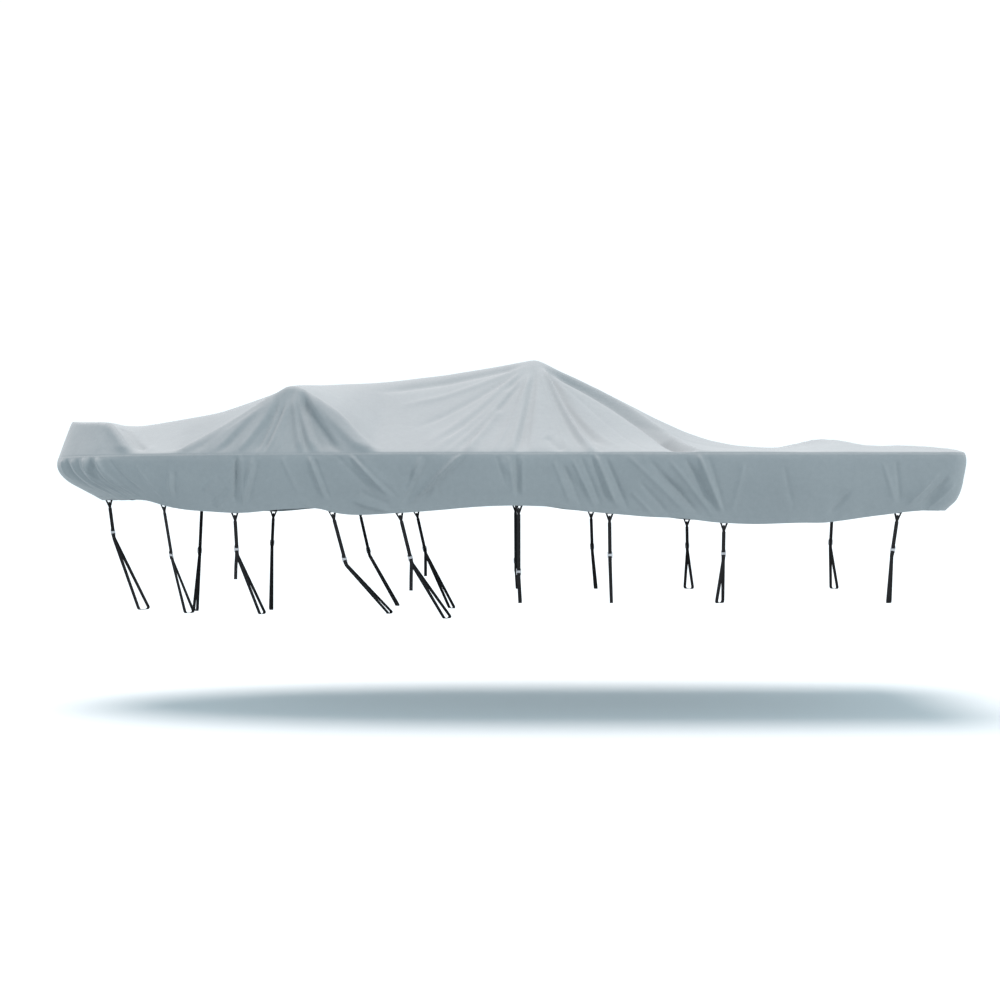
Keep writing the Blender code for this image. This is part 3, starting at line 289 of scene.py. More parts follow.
TOP_FOLDS = fold_rows("""
-350 46 -324 78 35 7 18
-342 36 -314 74 40 6 -18
-336 34 -306 78 35 6 12
-202 93 -227 117 32 7 -14
-200 94 -218 117 28 8 4
-205 94 -240 110 35 7 14
-200 90 -284 92 45 7 18 -5
-193 94 -181 118 26 9 9
-191 94 -169 118 26 9 12
-185 96 -147 119 40 8 -18
-180 97 -126 120 42 8 18
-10 10 -125 25 50 6 -24
-8 12 -82 102 42 6 18
-6 16 -70 98 42 6 -13
-20 34 -76 113 34 7 20
-30 62 -55 119 36 7 22
-4 14 -22 117 32 8 16
-2 12 -15 117 30 8 -24
5 10 38 117 32 7 34
10 12 47 102 45 6 -30
6 102 17 120 28 8 -14
4 11 108 118 58 10.5 -58 40
6 6 120 112 45 7 22 43
230 5 255 90 80 6 12
275 10 305 100 60 6 -10
""")
# On the skirts y0 and y1 are depths, as shares of the skirt's own.
SKIRT_FOLDS = fold_rows("""
-384 5 -382 65 30 8 -19
-360 0 -366 75 30 8 22
-356 5 -361 75 30 8 -19
-352 2 -345 95 30 8 19
-286 33 -293 75 30 7 9
-233 4 -234 65 35 7 -12
-218 10 -229 75 35 7 11
-176 6 -162 78 30 7 12
-144 2 -113 66 35 8 22
-141 78 -113 95 30 7 13
-93 30 -104 85 30 7 -13
-87 8 -105 85 30 7 16
-56 0 -98 85 40 7 19
-29 8 -21 45 25 7 11
-16 10 -16 90 25 8 -9
15 20 40 90 50 6 -16
40 0 60 88 35 7 15
47 10 66 90 35 7 -9
88 30 134 95 50 6 -12
110 10 134 85 40 6 -13
119 0 138 80 35 7 18
238 60 224 85 40 7 -10
303 40 282 80 40 7 16
313 52 298 93 30 7 -16
""")
# And on the transom x0 and x1 are lengths across it.
TRANSOM_FOLDS = fold_rows("""
-62 12 -80 85 40 7 16
-10 20 -16 80 35 7 -13
28 15 36 90 35 7 13
70 10 86 80 40 7 16
""")
CREST_POWER = 1.25  # how sharp a crease's crest is: 1 is a knife edge, 2 a round swell
CREST_ROUND = 0.009  # half the breadth of the crest's very tip
MOST_ROUND = 0.35  # and the most that it takes of a fold's breadth
EDGE_FADE = 0.035  # the folds die out this close to the gunwale's seam
LEAST_BREADTH = 0.024  # no fold is narrower than this to each side of its crest
TOP_FADE = (0.14, 0.86)  # share of a top fold's length where it has risen, and starts to die out
SKIRT_FADE = (0.40, 0.62)  # and of a skirt fold's
FOLD_ENDS = (-0.02, 1.12)  # and of any fold's where it starts to rise, and is gone

# Tie-downs: where each leaves the hem, where its two runs part, and where each run passes the
# trailer's rail, which is left out. y is outboard and z below the gunwale. tail: the free end.
Tie = namedtuple("Tie", "name hem_x part_x part_y part_z near_x near_y far_x far_y foot_z tail")
# The rows are in mm, in the order of the fields above.
TIES = [Tie(name, *(float(value) / 1000 for value in row)) for name, *row in map(str.split, """
1 -2980 -2954 520 -844 -2930 170 -2880 80 -1290 50
2 -2370 -2368 850 -790 -2290 280 -2262 190 -1290 240
3 -1598 -1495 985 -862 -1215 480 -1190 390 -1270 50
4 -1075 -982 1030 -850 -755 590 -705 500 -1300 260
5 -157 -155 1040 -960 -146 950 -140 870 -1150 110
6 541 550 1050 -830 568 950 575 870 -1150 50
7 1425 1425 1050 -820 1388 950 1450 870 -1150 50
8 2769 2735 1020 -790 2722 950 2764 870 -1150 50
""".strip().splitlines())]
BOW_TIE = Tie("bow", None, -3.569, 0.000, -0.678, -3.345, 0.060, -3.290, -0.060, -1.270, 0.05)
WEBBING = 0.028  # width of the straps
WEBBING_THICK = 0.002
# Its section, in half widths and half thicknesses.
STRIP = (-1, -0.4), (-0.97, -1), (0.97, -1), (1, -0.4), (1, 0.4), (0.97, 1), (-0.97, 1), (-1, 0.4)
BEND = 0.012  # a strap's corners are eased over this length, or over
MOST_BENT = 0.45  # this share of a leg if that is less
PLATE_EASE = 0.22  # a loop's and a buckle's edges are eased by this share of their thickness
SHEET_SHARP, PIECE_SHARP = 60.0, 40.0  # edges that turn more, in degrees, show as edges
SHARPEST_BEND = 0.7  # cosine of half the turn past which a bend isn't mitred any further
LOOP_WIDTH = 0.064  # the sewn loop, where it crosses the hem
LOOP_DROP = 0.066  # and how far its point hangs below it
LOOP_TAB = 0.036  # length sewn to the cloth above the hem
BOW_TAB = 0.045  # length that the bow's loop is sewn to the stem
BOW_TAB_TOP = (-0.4, 0.6)  # its upper corners, in half widths of the loop
LOOP_TIP = 0.009  # half the width of the loop's lower end
LOOP_HOLE = (0.004, 0.040)  # top and bottom of the loop's opening, below the hem
LOOP_LEG = 0.016  # width of each leg of the loop
RUN_OFFSET = 0.0026  # from the middle of a doubled strap to the middle of each run
TAB_CLEAR = 0.0006  # from the cloth to the loop's tab
STRAND = 0.0252  # width of each run below the place where they part
RAIL_EASE = 0.16  # share of the way between the runs where the strap bends round the rail
RAIL_DROOP = 0.012  # and how far it hangs below their ends there
BUCKLE = (0.040, 0.048, 0.003)  # width, height, thickness
BUCKLE_SLOT = (0.031, 0.006)  # width and height of each slot
BUCKLE_SLOT_AT = 0.012  # from the middle of the buckle to the middle of a slot
BUCKLE_BACK = 0.0042  # from the middle of the doubled strap to the back of the buckle
BUCKLE_ABOVE = 0.050  # the buckle sits this far above the place where the runs part
FRONT_CLEAR = 0.0017  # from the buckle's front to the middle of the strap over it
SEWN_END = 0.022  # length of the strap's sewn end above its slot
TAIL_FLAT = 0.040  # the tail lies flat this far below the buckle's middle
TAIL_LIFT = 0.001  # and stands off this much more there
TAIL_SHORT = 0.05  # a tail no longer than this ends there
TAIL_LEAST = 0.01  # and a longer one hangs at least this much lower
TAIL_KICK = 0.12  # how far it hangs out, as a share of that
TAIL_BELLY = 0.006  # how far its middle bends out
SLOT_EASE = 0.0026  # beyond a slot the strap is down on the buckle after this length
SLOT_REST = 0.0003  # it stands this far off the buckle at the slot's edge
SLOT_DROP = 0.002  # behind the slot it reaches its run after this length
PART_EASE = 0.004  # the runs are together until this far from where they part
# How the doubled strap narrows up to the loop's point and passes through it.
LOOP_PASS = (
    # down, out, width
    (0.0800, RUN_OFFSET, WEBBING),
    (0.0600, RUN_OFFSET, 0.022),
    (0.0340, RUN_OFFSET + 0.0002, 0.012),
    (0.0210, 0.0022, 0.012),
    (0.0175, 0.0000, 0.012),
)

# The starboard folds are like the port ones, but none is an exact copy.
STARBOARD_SHIFT = 0.03  # furthest that a fold's foot moves along the boat
STARBOARD_TURN = (2.4, 0.7)  # from fold to fold it goes by a sine: its step and its start
STARBOARD_RISE = 0.85  # and its relief, as a share of the port one
CENTRE_FADE = 0.10  # a side's folds die out this far beyond the centreline

# How finely lines are sampled that others are measured along: finer than any net.
PLAN_POINTS = 1500  # the gunwale
SECTION_POINTS = 260  # half a section of the top sheet
HEM_POINTS = 4000  # half the hem
HEM_SIDE_POINTS = 3600  # and of these the ones before the transom, where x turns back
SPOT_STEPS = np.array([[0.01, 0.0], [0.0, 0.02]])  # the skirt's slopes are measured over these
STEM_SPOT = 0.8  # and the stem's slope at its hem from this share of its depth

# Finer creases than the solids have, laid out like the folds above.
TOP_CREASES = fold_rows("""
-194 95 -223 120 14 9 11
-196 95 -227 120 13 9 -16
-198 95 -232 119 14 9 11
-197 95 -237 117 13 9 -8
-199 94 -244 112 15 8 -12
-199 94 -250 110 14 8 8
-198 92 -260 105 16 9 -12 -2
-200 93 -264 103 16 9 12 -2
-202 92 -276 96 18 8 -10 -2
-202 90 -280 90 18 8 10 -2
-195 96 -205 116 15 9 5
-192 97 -188 117 15 9 -5
-191 95 -179 120 14 9 13
-190 95 -174 120 14 9 -12
-188 95 -167 120 14 9 14
-187 95 -160 120 14 9 -11
-186 95 -149 120 14 9 -8
-184 94 -143 120 14 9 16
-180 96 -127 120 16 9 10
-356 40 -324 79 18 8 8
-350 40 -320 78 18 8 -11
-344 36 -316 78 18 8 10
-337 36 -311 76 18 8 -8
-388 10 -370 46 20 8 -4
-362 30 -352 62 20 8 4
-6 10 -105 48 20 7 11 2
-8 14 -92 78 18 7 -12
-7 18 -66 116 18 8 13
-12 30 -60 117 17 8 -10
-3 20 -34 118 17 8 9
-2 16 -20 118 16 9 11
0 18 -10 118 16 9 -8
3 14 22 118 18 8 9
4 14 33 116 17 8 -8
6 12 40 119 18 9 11
11 16 47 118 22 8 -10
10 20 62 110 22 7 6
12 16 84 114 20 7 -5 10
100 58 115 121 34 9 -26
108 52 122 119 28 9 12
30 16 155 80 24 6 -6 10
145 20 180 108 26 7 5
228 20 210 105 24 7 -5
250 30 274 106 22 7 5
294 20 318 100 22 7 5
""")
SKIRT_CREASES = fold_rows("""
-390 6 -390 50 12 9 10
-384 4 -380 72 12 9 -13
-378 6 -370 84 12 9 11
-372 4 -366 86 12 9 -11
-366 2 -356 90 12 9 13
-360 3 -346 92 13 9 -13
-354 2 -336 92 13 9 13
-340 10 -324 80 14 8 -8
-318 20 -305 88 16 7 7
-288 28 -295 82 12 8 11
-284 30 -290 78 12 8 -10
-262 65 -250 40 14 8 9
-258 88 -240 50 14 8 -9
-252 92 -236 60 13 8 8
-234 2 -236 88 12 9 -15
-230 4 -230 86 12 9 13
-220 6 -231 90 13 9 11
-216 10 -226 86 12 9 -8
-198 6 -186 70 15 7 7
-177 4 -164 86 12 9 13
-173 6 -160 86 12 9 -10
-156 2 -128 62 14 8 -8
-146 0 -115 70 12 9 14
-142 2 -110 70 12 9 -11
-144 76 -112 97 12 8 11
-138 62 -112 88 13 8 -8
-96 28 -106 90 12 9 -11
-90 6 -107 90 12 9 13
-84 6 -102 82 13 8 -7
-58 0 -100 86 13 9 14
-53 0 -94 86 13 9 -11
-74 30 -84 80 13 7 7
-33 4 -26 60 12 9 -8
-24 4 -19 80 12 9 8
-18 2 -17 93 11 9 -11
-13 4 -13 92 11 9 8
10 12 24 90 14 8 9
18 20 32 92 13 8 -10
24 8 43 92 13 8 10
31 4 48 92 13 8 -10
38 0 54 88 12 9 -10
42 0 60 90 12 9 15
50 6 68 90 12 9 -11
66 3 114 92 15 8 10
76 44 100 96 14 8 -10
70 62 88 97 13 8 8
82 8 122 90 14 8 -11
86 24 124 94 14 8 -11
98 10 134 92 13 9 11
110 6 138 88 13 9 -13
120 0 141 86 12 9 15
128 2 144 90 13 9 -8
156 10 148 86 15 7 7
186 16 196 84 18 7 -6
240 56 222 90 13 8 -10
262 14 274 84 14 8 8
272 10 278 90 13 8 -8
306 34 284 88 13 9 13
314 40 294 92 13 9 -13
320 50 306 95 13 9 10
""")
TRANSOM_CREASES = fold_rows("""
-96 8 -106 90 13 8 9
-60 6 -82 92 13 9 12
-55 8 -76 88 13 9 -9
-30 20 -22 86 14 7 7
-8 14 -16 88 12 9 -10
26 10 36 92 12 9 10
50 24 46 86 14 7 -7
68 6 88 88 13 9 12
74 6 94 84 13 9 -8
100 12 106 86 13 8 8
""")
FINE_BREADTH = 0.011  # no crease of the skirts is narrower than this to each side of its crest
FINEST_CELLS = 1.15  # and none of the top sheet, whose cells are larger, than this many cells
CREASE_FADE = (0.15, 0.72)  # share of its length where a crease of the skirts has risen, and fades

# The sewing. Lengths down from the gunwale or up from the hem.
EDGE_REACH = 0.016  # the cloth rounds over the gunwale in this length to each side
FELL_WIDTH = 0.013  # the seam under the gunwale is felled this wide
FELL_RISE = 0.0011  # and stands out this far
HEM_WIDTH = 0.026  # the hem is turned up this far
HEM_RISE = 0.0018  # and stands out this far
STEP_EASE = 0.0035  # a turned edge steps down over this length
SEAM_ROWS = (0.0035, 0.0095)  # rows of stitches under the gunwale
HEM_ROW = 0.021  # and over the hem's edge
GROOVE = 0.0007  # how deep a row of stitches draws in
GROOVE_HALF = 0.0028  # and half how wide
STITCH = (0.0065, 0.0009, 0.0008)  # a stitch's length, half its width, and how far it stands out
STITCH_PITCH = 0.0085

# Puckers along the sewing, in layers.
PUCKERS = Table("""
length rise
.410 .0016
.173 .0014
.091 .0009
.053 .0005
""")
SEAM_PUCKER_REACH = 0.050  # at the gunwale they die out this far from it
HEM_PUCKER = 3.0  # at the hem they are this many times as high
HEM_PUCKER_REACH = 0.120  # and die out this far from it
# Shallow unevenness of the whole cloth, in layers.
UNEVEN = Table("""
length rise
.420 .0030
.150 .0014
.060 .0006
""")

LAYER_SHIFT = np.array([17.3, 5.1, 9.7])  # so that no two layers of unevenness agree
TAB_BOX = (0.026, 0.007, 0.034)  # stitched box over a tab: half its width, its foot, its head

WEAVE = 350.0  # scale of the weave's pattern: threads about 0.9 mm apart

# Cells of the top sheet along the boat.
TOP_CELLS = Table("""
x cell
-4.03 .010
-3.80 .018
-3.10 .024
-2.90 .026
-2.60 .015
-2.32 .011
-1.42 .011
-1.25 .016
-1.00 .026
-.80 .019
-.20 .014
.05 .012
.45 .012
.65 .017
1.20 .020
1.50 .056
3.30 .064
""")
NOSE_LENGTH = 0.10  # over this length from the bow the columns are close together
NOSE_COLUMNS = 22
CORNER_COLUMNS = 15  # columns round a stern corner
TOP_ROWS = 56  # cells from the centreline to the gunwale
TOP_EDGE = (0.0, 0.0035, 0.008, 0.013, 0.020)  # and the last ones, in from it
SKIRT_CELL = 0.0105
SKIRT_EDGE = (0.0, 0.0022, 0.0035, 0.0065, 0.0095, 0.0125, 0.015, 0.0195)
HEM_EDGE = (0.0, 0.003, 0.010, 0.0185, 0.021, 0.0235, 0.0262, 0.0285)
SKIRT_ROWS = 34  # cells between the two


# ---- easing

def unit(vectors):
    """Vectors at their own way and length 1."""
    vectors = np.asarray(vectors, float)
    return vectors / np.linalg.norm(vectors, axis=-1, keepdims=True)


def soft_step(value, low, high):
    """0 below low, 1 above high, and an even S between them."""
    t = np.clip((value - low) / (high - low), 0.0, 1.0)
    return t * t * (3.0 - 2.0 * t)


def section(column, x):
    """A column of SECTIONS at x, eased from row to row."""
    steps = np.array((-1.0, -0.5, 0.0, 0.5, 1.0)) * SECTION_BLUR
    weights = (1, 2, 3, 2, 1)
    total = sum(w * SECTIONS.straight(column, x + s) for s, w in zip(steps, weights))
    return total / sum(weights)


# ---- the gunwale

def plan_shares(x):
    """How far x is into the bow's curve, as a share of it, and half the width abaft that curve."""
    ahead = np.clip((FULL_BEAM_X - x) / (FULL_BEAM_X - BOW_X), 0.0, 1.0)
    aft = np.clip((x - FULL_BEAM_X) / (STERN_X - FULL_BEAM_X), 0.0, 1.0)
    return ahead, HALF_BEAM - (HALF_BEAM - STERN_HALF_BEAM) * aft ** 2


def half_width(x):
    """Half the width of the gunwale at x."""
    x = np.asarray(x, float)
    ahead, side = plan_shares(x)
    bow = HALF_BEAM * np.sqrt(1.0 - ahead ** BOW_POWER)
    into_corner = np.clip(x - (STERN_X - CORNER_RADIUS), 0.0, CORNER_RADIUS)
    corner = CORNER_RADIUS - np.sqrt(CORNER_RADIUS ** 2 - into_corner ** 2)
    return np.where(x < FULL_BEAM_X, bow, side - corner)


def inset(x, y):
    """How far a point lies in from the gunwale."""
    x, y = np.asarray(x, float), np.abs(np.asarray(y, float))
    ahead, side = plan_shares(x)
    inside = 1.0 - ahead ** BOW_POWER - (y / HALF_BEAM) ** 2
    slope_x = BOW_POWER * ahead ** (BOW_POWER - 1.0) / (FULL_BEAM_X - BOW_X)
    slope_y = 2.0 * y / HALF_BEAM ** 2
    bow = np.minimum(inside / np.maximum(np.hypot(slope_x, slope_y), 1e-6), x - BOW_X - BOW_FLAT)
    to_side, to_stern = side - y, STERN_X - x
    round_off = CORNER_RADIUS - np.hypot(
        np.maximum(CORNER_RADIUS - to_stern, 0.0), np.maximum(CORNER_RADIUS - to_side, 0.0)
    )
    in_corner = (to_stern < CORNER_RADIUS) & (to_side < CORNER_RADIUS)
    stern = np.where(in_corner, round_off, np.minimum(to_side, to_stern))
    return np.maximum(np.where(x < FULL_BEAM_X, bow, stern), 0.0)


def gunwale_line():
    """The port half of the gunwale, from the middle of the bow to the middle of the stern."""
    tip = BOW_X + BOW_FLAT
    turn = np.linspace(0.0, 1.0, PLAN_POINTS)
    x = np.concatenate([
        tip + (STERN_X - CORNER_RADIUS - tip) * turn ** 2,
        STERN_X - CORNER_RADIUS * (1.0 - np.sin(turn[1:] * math.pi / 2)),
    ])
    line = np.column_stack([x, -half_width(x)])
    return np.vstack([[tip, 0.0], line, [STERN_X, 0.0]])


# ---- the draped surfaces

def fold_relief(along_x, across_y, fold, fade, least, length_scale=1.0):
    """What one fold adds at each point of the plane that it is laid out in."""
    run_x, run_y = fold.x1 - fold.x0, (fold.y1 - fold.y0) * length_scale
    length = math.hypot(run_x, run_y)
    from_x, from_y = along_x - fold.x0, (across_y - fold.y0) * length_scale
    along = (from_x * run_x + from_y * run_y) / length ** 2
    inside = np.clip(along, 0.0, 1.0)
    off = (from_x * run_y - from_y * run_x) / length - fold.swing * 4.0 * inside * (1.0 - inside)
    breadth = np.maximum(fold.width * (fold.head + (1.0 - fold.head) * inside), least)
    round_off = np.minimum(CREST_ROUND / breadth, MOST_ROUND)
    away = np.hypot(off / breadth, round_off) - round_off
    crest = np.exp(-away ** CREST_POWER)
    (rising, dying), (start, end) = fade, FOLD_ENDS
    risen = fold.rise * crest * soft_step(along, start, rising)
    return risen * (1.0 - soft_step(along, dying, end))


def mirrored_folds(folds, side):
    """The folds as they lie on one side: -1 is port, and starboard's differ a little."""
    if side < 0:
        return folds
    step, start = STARBOARD_TURN
    shifts = [STARBOARD_SHIFT * math.sin(step * index + start) for index in range(len(folds))]
    return [fold._replace(x1=fold.x1 + shift, rise=fold.rise * STARBOARD_RISE)
            for fold, shift in zip(folds, shifts)]


def sheet_and_drop(x, y):
    """Heights of the taut sheet and of the steep drop to the gunwale, the lower of which shows."""
    width = np.maximum(half_width(x), LEAST_HALF)
    ridge = section("ridge", x)
    out = np.sqrt(y ** 2 + ridge ** 2) - ridge
    share = np.clip(out / (np.sqrt(width ** 2 + ridge ** 2) - ridge), 0.0, PAST_EDGE)
    crown, edge = section("crown", x), section("edge", x)
    sheet = crown + (edge - crown) * share - section("hollow", x) * np.sin(math.pi * share)
    return sheet, section("steep", x) * inset(x, y)


def taut_height(x, y):
    """Height of the top sheet over the gunwale without its folds, outer face."""
    sheet, drop = sheet_and_drop(x, y)
    blend = np.minimum(SHOULDER, SHOULDER_MOST * drop + 1e-9)
    close = np.maximum(blend - np.abs(sheet - drop), 0.0) / blend
    return np.minimum(sheet, drop) - close ** 2 * blend / 4.0


def top_relief(x, y, folds=TOP_FOLDS, least=LEAST_BREADTH):
    """How far the top sheet's folds stand out."""
    relief = np.zeros_like(x)
    for side in (-1, 1):
        mine = soft_step(y * side, -CENTRE_FADE, 0.0)
        for fold in mirrored_folds(folds, side):
            relief = relief + mine * fold_relief(x, y * side, fold, TOP_FADE, least)
    return relief * soft_step(inset(x, y), 0.0, EDGE_FADE)


def top_height(x, y):
    """Height of the folded top sheet over a point of the plan."""
    sheet, drop = sheet_and_drop(x, y)
    on_drop = soft_step(sheet - drop, *DROP_REACH)
    lift = 1.0 + (np.hypot(1.0, section("steep", x)) - 1.0) * on_drop
    return taut_height(x, y) + top_relief(x, y) * lift


class Seam:
    """The gunwale as a closed line: length along it to a point, port side first."""

    def __init__(self):
        half = gunwale_line()
        self.line = np.vstack([half, half[-2::-1] * (1.0, -1.0)])
        step = np.hypot(*np.diff(self.line, axis=0).T)
        self.at = np.concatenate([[0.0], np.cumsum(step)])
        self.length = self.at[-1]

    def point(self, along):
        """Points (x, y) at lengths along the seam."""
        return np.column_stack([np.interp(along, self.at, self.line[:, k]) for k in (0, 1)])


SEAM = Seam()


def skirt_depth(x):
    """Depth of the skirt under the gunwale at x."""
    return HEM.smooth("depth", x)


def skirt_point(spot, relief=True):
    """Points of the skirt, outer face, at spots: (length along the seam, share of its depth)."""
    x, y = SEAM.point(spot[:, 0]).T
    down = spot[:, 1] * skirt_depth(x)
    at_bow = 1.0 - soft_step(x, BOW_X, BOW_X + STEM_REACH)
    at_stern = soft_step(x, STERN_X - RAKE_REACH, STERN_X)
    flare = DRAW_IN.smooth("flare", down) * (1.0 + (BOW_FLARE - 1.0) * at_bow)
    back = DRAW_IN.smooth("stem", down) * at_bow ** STEM_POWER
    rake = DRAW_IN.smooth("rake", down) * at_stern
    point = np.column_stack([x + back - rake, y * (1.0 - flare), -down])
    if relief:
        point = point + skirt_normal(spot) * skirt_relief(spot)[:, None]
    return point


def skirt_normal(spot):
    """Outward normals of the skirt, without its folds."""
    def taut(at):
        return skirt_point(np.clip(at, (0.0, -1.0), (SEAM.length, 2.0)), False)
    along, down = (taut(spot + step) - taut(spot - step) for step in SPOT_STEPS)
    return unit(np.cross(down, along))


def skirt_relief(spot, sides=SKIRT_FOLDS, transom=TRANSOM_FOLDS, least=LEAST_BREADTH,
                 fade=SKIRT_FADE):
    """How far the skirt's folds stand out."""
    x, y = SEAM.point(spot[:, 0]).T
    total = np.zeros(len(spot))
    runs = [(x, y * side >= 0.0, mirrored_folds(sides, side)) for side in (-1, 1)]
    for place, mine, folds in (*runs, (y, x > STERN_X - 1e-4, transom)):
        for fold in folds:
            total += mine * fold_relief(place, spot[:, 1], fold, fade, least, NET_DEPTH)
    calm = calm_at_ties(spot, tie_seams())
    return total * calm * soft_step(spot[:, 1] * skirt_depth(x), 0.0, EDGE_FADE)


def calm_at_ties(spot, seams):
    """0 where the skirt lies flat round a tie-down, 1 away from it."""
    up = (1.0 - spot[:, 1]) * skirt_depth(SEAM.point(spot[:, 0])[:, 0])
    calm = np.ones(len(spot))
    for along in seams:
        away = np.minimum(np.abs(spot[:, 0] - along), np.abs(SEAM.length - spot[:, 0] - along))
        calm *= soft_step(np.hypot(away, up), *TIE_CALM)
    return calm


@cache
def tie_seams():
    """Length along the seam of each side tie-down, on the port side."""
    along = np.linspace(0.0, SEAM.length / 2, HEM_POINTS)
    hem = skirt_point(np.column_stack([along, np.ones(HEM_POINTS)]), False)
    side = hem[:HEM_SIDE_POINTS, 0], along[:HEM_SIDE_POINTS]
    return [float(np.interp(tie.hem_x, *side)) for tie in TIES]


def pole_head():
    """Where a pole at x 0 on the centreline meets the sheet's inner face: the part's own zero."""
    x, y, step = np.zeros(1), np.zeros(1), 0.004
    slope_x = (top_height(x + step, y) - top_height(x - step, y)) / (2 * step)
    slope_y = (top_height(x, y + step) - top_height(x, y - step)) / (2 * step)
    normal = unit([-slope_x[0], -slope_y[0], 1.0])
    return np.array([0.0, 0.0, top_height(x, y)[0]]) - CLOTH * normal


POLE_HEAD = pole_head()


def lower(points):
    """From heights over the gunwale to the part's own frame."""
    return np.asarray(points, float) - POLE_HEAD


def plate_net(outline, holes):
    """The points of a flat outline with holes, and the triangles between them."""
    points, rings = [], []
    for corners in (outline, *holes):
        rings.append(list(range(len(points), len(points) + len(corners))))
        points += corners
    _, _, faces, origin, _, inside = delaunay_2d_cdt(
        [Vector(p) for p in points], [], rings, 1, 1e-7)
    return points, [tuple(origin[i][0] for i in face)
                    for face, over in zip(faces, inside) if over == [0]]


class TieFrame:
    """Where a tie-down meets the hem: its axes across, down and out, and its tab's way up."""

    def __init__(self, tie, side):
        part = np.array([tie.part_x, tie.part_y * side, tie.part_z])
        half = LOOP_WIDTH / 2
        if tie.hem_x is None:
            spots = np.array([[0.0, 1.0], [0.0, STEM_SPOT]])
            hem, above = skirt_point(spots, False)
            stem = unit(above - hem)
            normal = skirt_normal(spots)[0] * (1.0, 0.0, 1.0)
            back = -unit(normal - stem * np.dot(normal, stem))
            self.tab_across = np.array([1.0, 0.0, 0.0])
            self.tab_up = np.array([0.0, 0.0, 1.0])
            self.tab_out = np.array([0.0, -1.0, 0.0])
            self.origin = hem + back * (CLOTH + TAB_CLEAR) + self.tab_across * half
            up_stem = stem * BOW_TAB
            self.tab_corners = [(up_stem[0] - half, up_stem[2]),
                                *((a * half, LOOP_TAB) for a in BOW_TAB_TOP)]
        else:
            along = tie_seams()[TIES.index(tie)]
            along = along if side < 0 else SEAM.length - along
            spots = np.array([(along + a, 1.0 - up / NET_DEPTH) for up in (0.0, TIE_NET_RISE)
                              for a in (-TIE_NET_HALF, TIE_NET_HALF)])
            inner = skirt_point(spots) - CLOTH * skirt_normal(spots)
            hem, above = inner[:2].mean(axis=0), inner[2:].mean(axis=0)
            self.tab_up = unit(above - hem)
            self.tab_across = unit(inner[1] - inner[0])
            self.tab_out = unit(np.cross(self.tab_across, self.tab_up))
            self.tab_out *= np.sign(np.dot(self.tab_out, skirt_normal(spots)[0]))
            clear = np.min((inner - hem) @ self.tab_out) - TAB_CLEAR - WEBBING_THICK / 2
            self.origin = hem + self.tab_out * clear
            self.tab_corners = [(-half, LOOP_TAB), (half, LOOP_TAB)]
        self.down = unit(part - self.origin)
        self.out = unit(self.tab_out - self.down * np.dot(self.tab_out, self.down))
        self.across = unit(self.tab_across - self.down * np.dot(self.tab_across, self.down))
        self.across = unit(self.across - self.out * np.dot(self.across, self.out))
        self.length = np.linalg.norm(part - self.origin)

    def at(self, across, down, out):
        """A point of the hanging part."""
        return self.origin + self.across * across + self.down * down + self.out * out

    def tab(self, across, up, out):
        """A point of the part that is sewn inside the hem."""
        return self.origin + self.tab_across * across + self.tab_up * up + self.tab_out * out


def strap_path(tie, frame, side):
    """The strap from its sewn end at the buckle round to its free tail.

    Rows of point, width and the way that the width lies.
    """
    def hung(*rows):
        """Rows on the hanging part: how far down it, how far out, and the width if it differs."""
        return [(frame.at(0.0, down, out), *(width or [WEBBING]), frame.across)
                for down, out, *width in rows]
    buckle = frame.length - BUCKLE_ABOVE
    high, low = buckle - BUCKLE_SLOT_AT, buckle + BUCKLE_SLOT_AT  # down to its two slots
    on_front = BUCKLE_BACK + BUCKLE[2]
    front, edge = on_front + FRONT_CLEAR, on_front + SLOT_REST
    rows = hung(
        (high - SEWN_END, front), (high - SLOT_EASE, front), (high, edge), (high, BUCKLE_BACK),
        (high - SLOT_DROP, RUN_OFFSET), *LOOP_PASS,
        *((down, -out, width) for down, out, width in LOOP_PASS[-2::-1]),
        (frame.length - PART_EASE, -RUN_OFFSET),
    )
    fore_aft = np.array([1.0, 0.0, 0.0]) * np.sign(frame.across[0])
    near = np.array([tie.near_x, tie.near_y * side, tie.foot_z])
    far = np.array([tie.far_x, tie.far_y * side, tie.foot_z])
    round_rail = (far - near) * RAIL_EASE
    droop = np.array([0.0, 0.0, -RAIL_DROOP])
    rows += [(at, STRAND, fore_aft)
             for at in (far, far - round_rail + droop, near + round_rail + droop, near)]
    rows += hung(
        (frame.length + PART_EASE, RUN_OFFSET), (low + SLOT_DROP, RUN_OFFSET),
        (low, BUCKLE_BACK), (low, edge), (low + SLOT_EASE, front),
        (buckle + TAIL_FLAT, front + TAIL_LIFT),
    )
    hangs = tie.tail - TAIL_SHORT
    if hangs > TAIL_LEAST:
        start = rows[-1][0]
        fall = (np.array([0.0, 0.0, -1.0]) + TAIL_KICK * frame.out) * hangs
        rows += [(start + fall / 2 + TAIL_BELLY * frame.out, WEBBING, frame.across),
                 (start + fall, WEBBING, frame.across)]
    return rows


# ---- materials

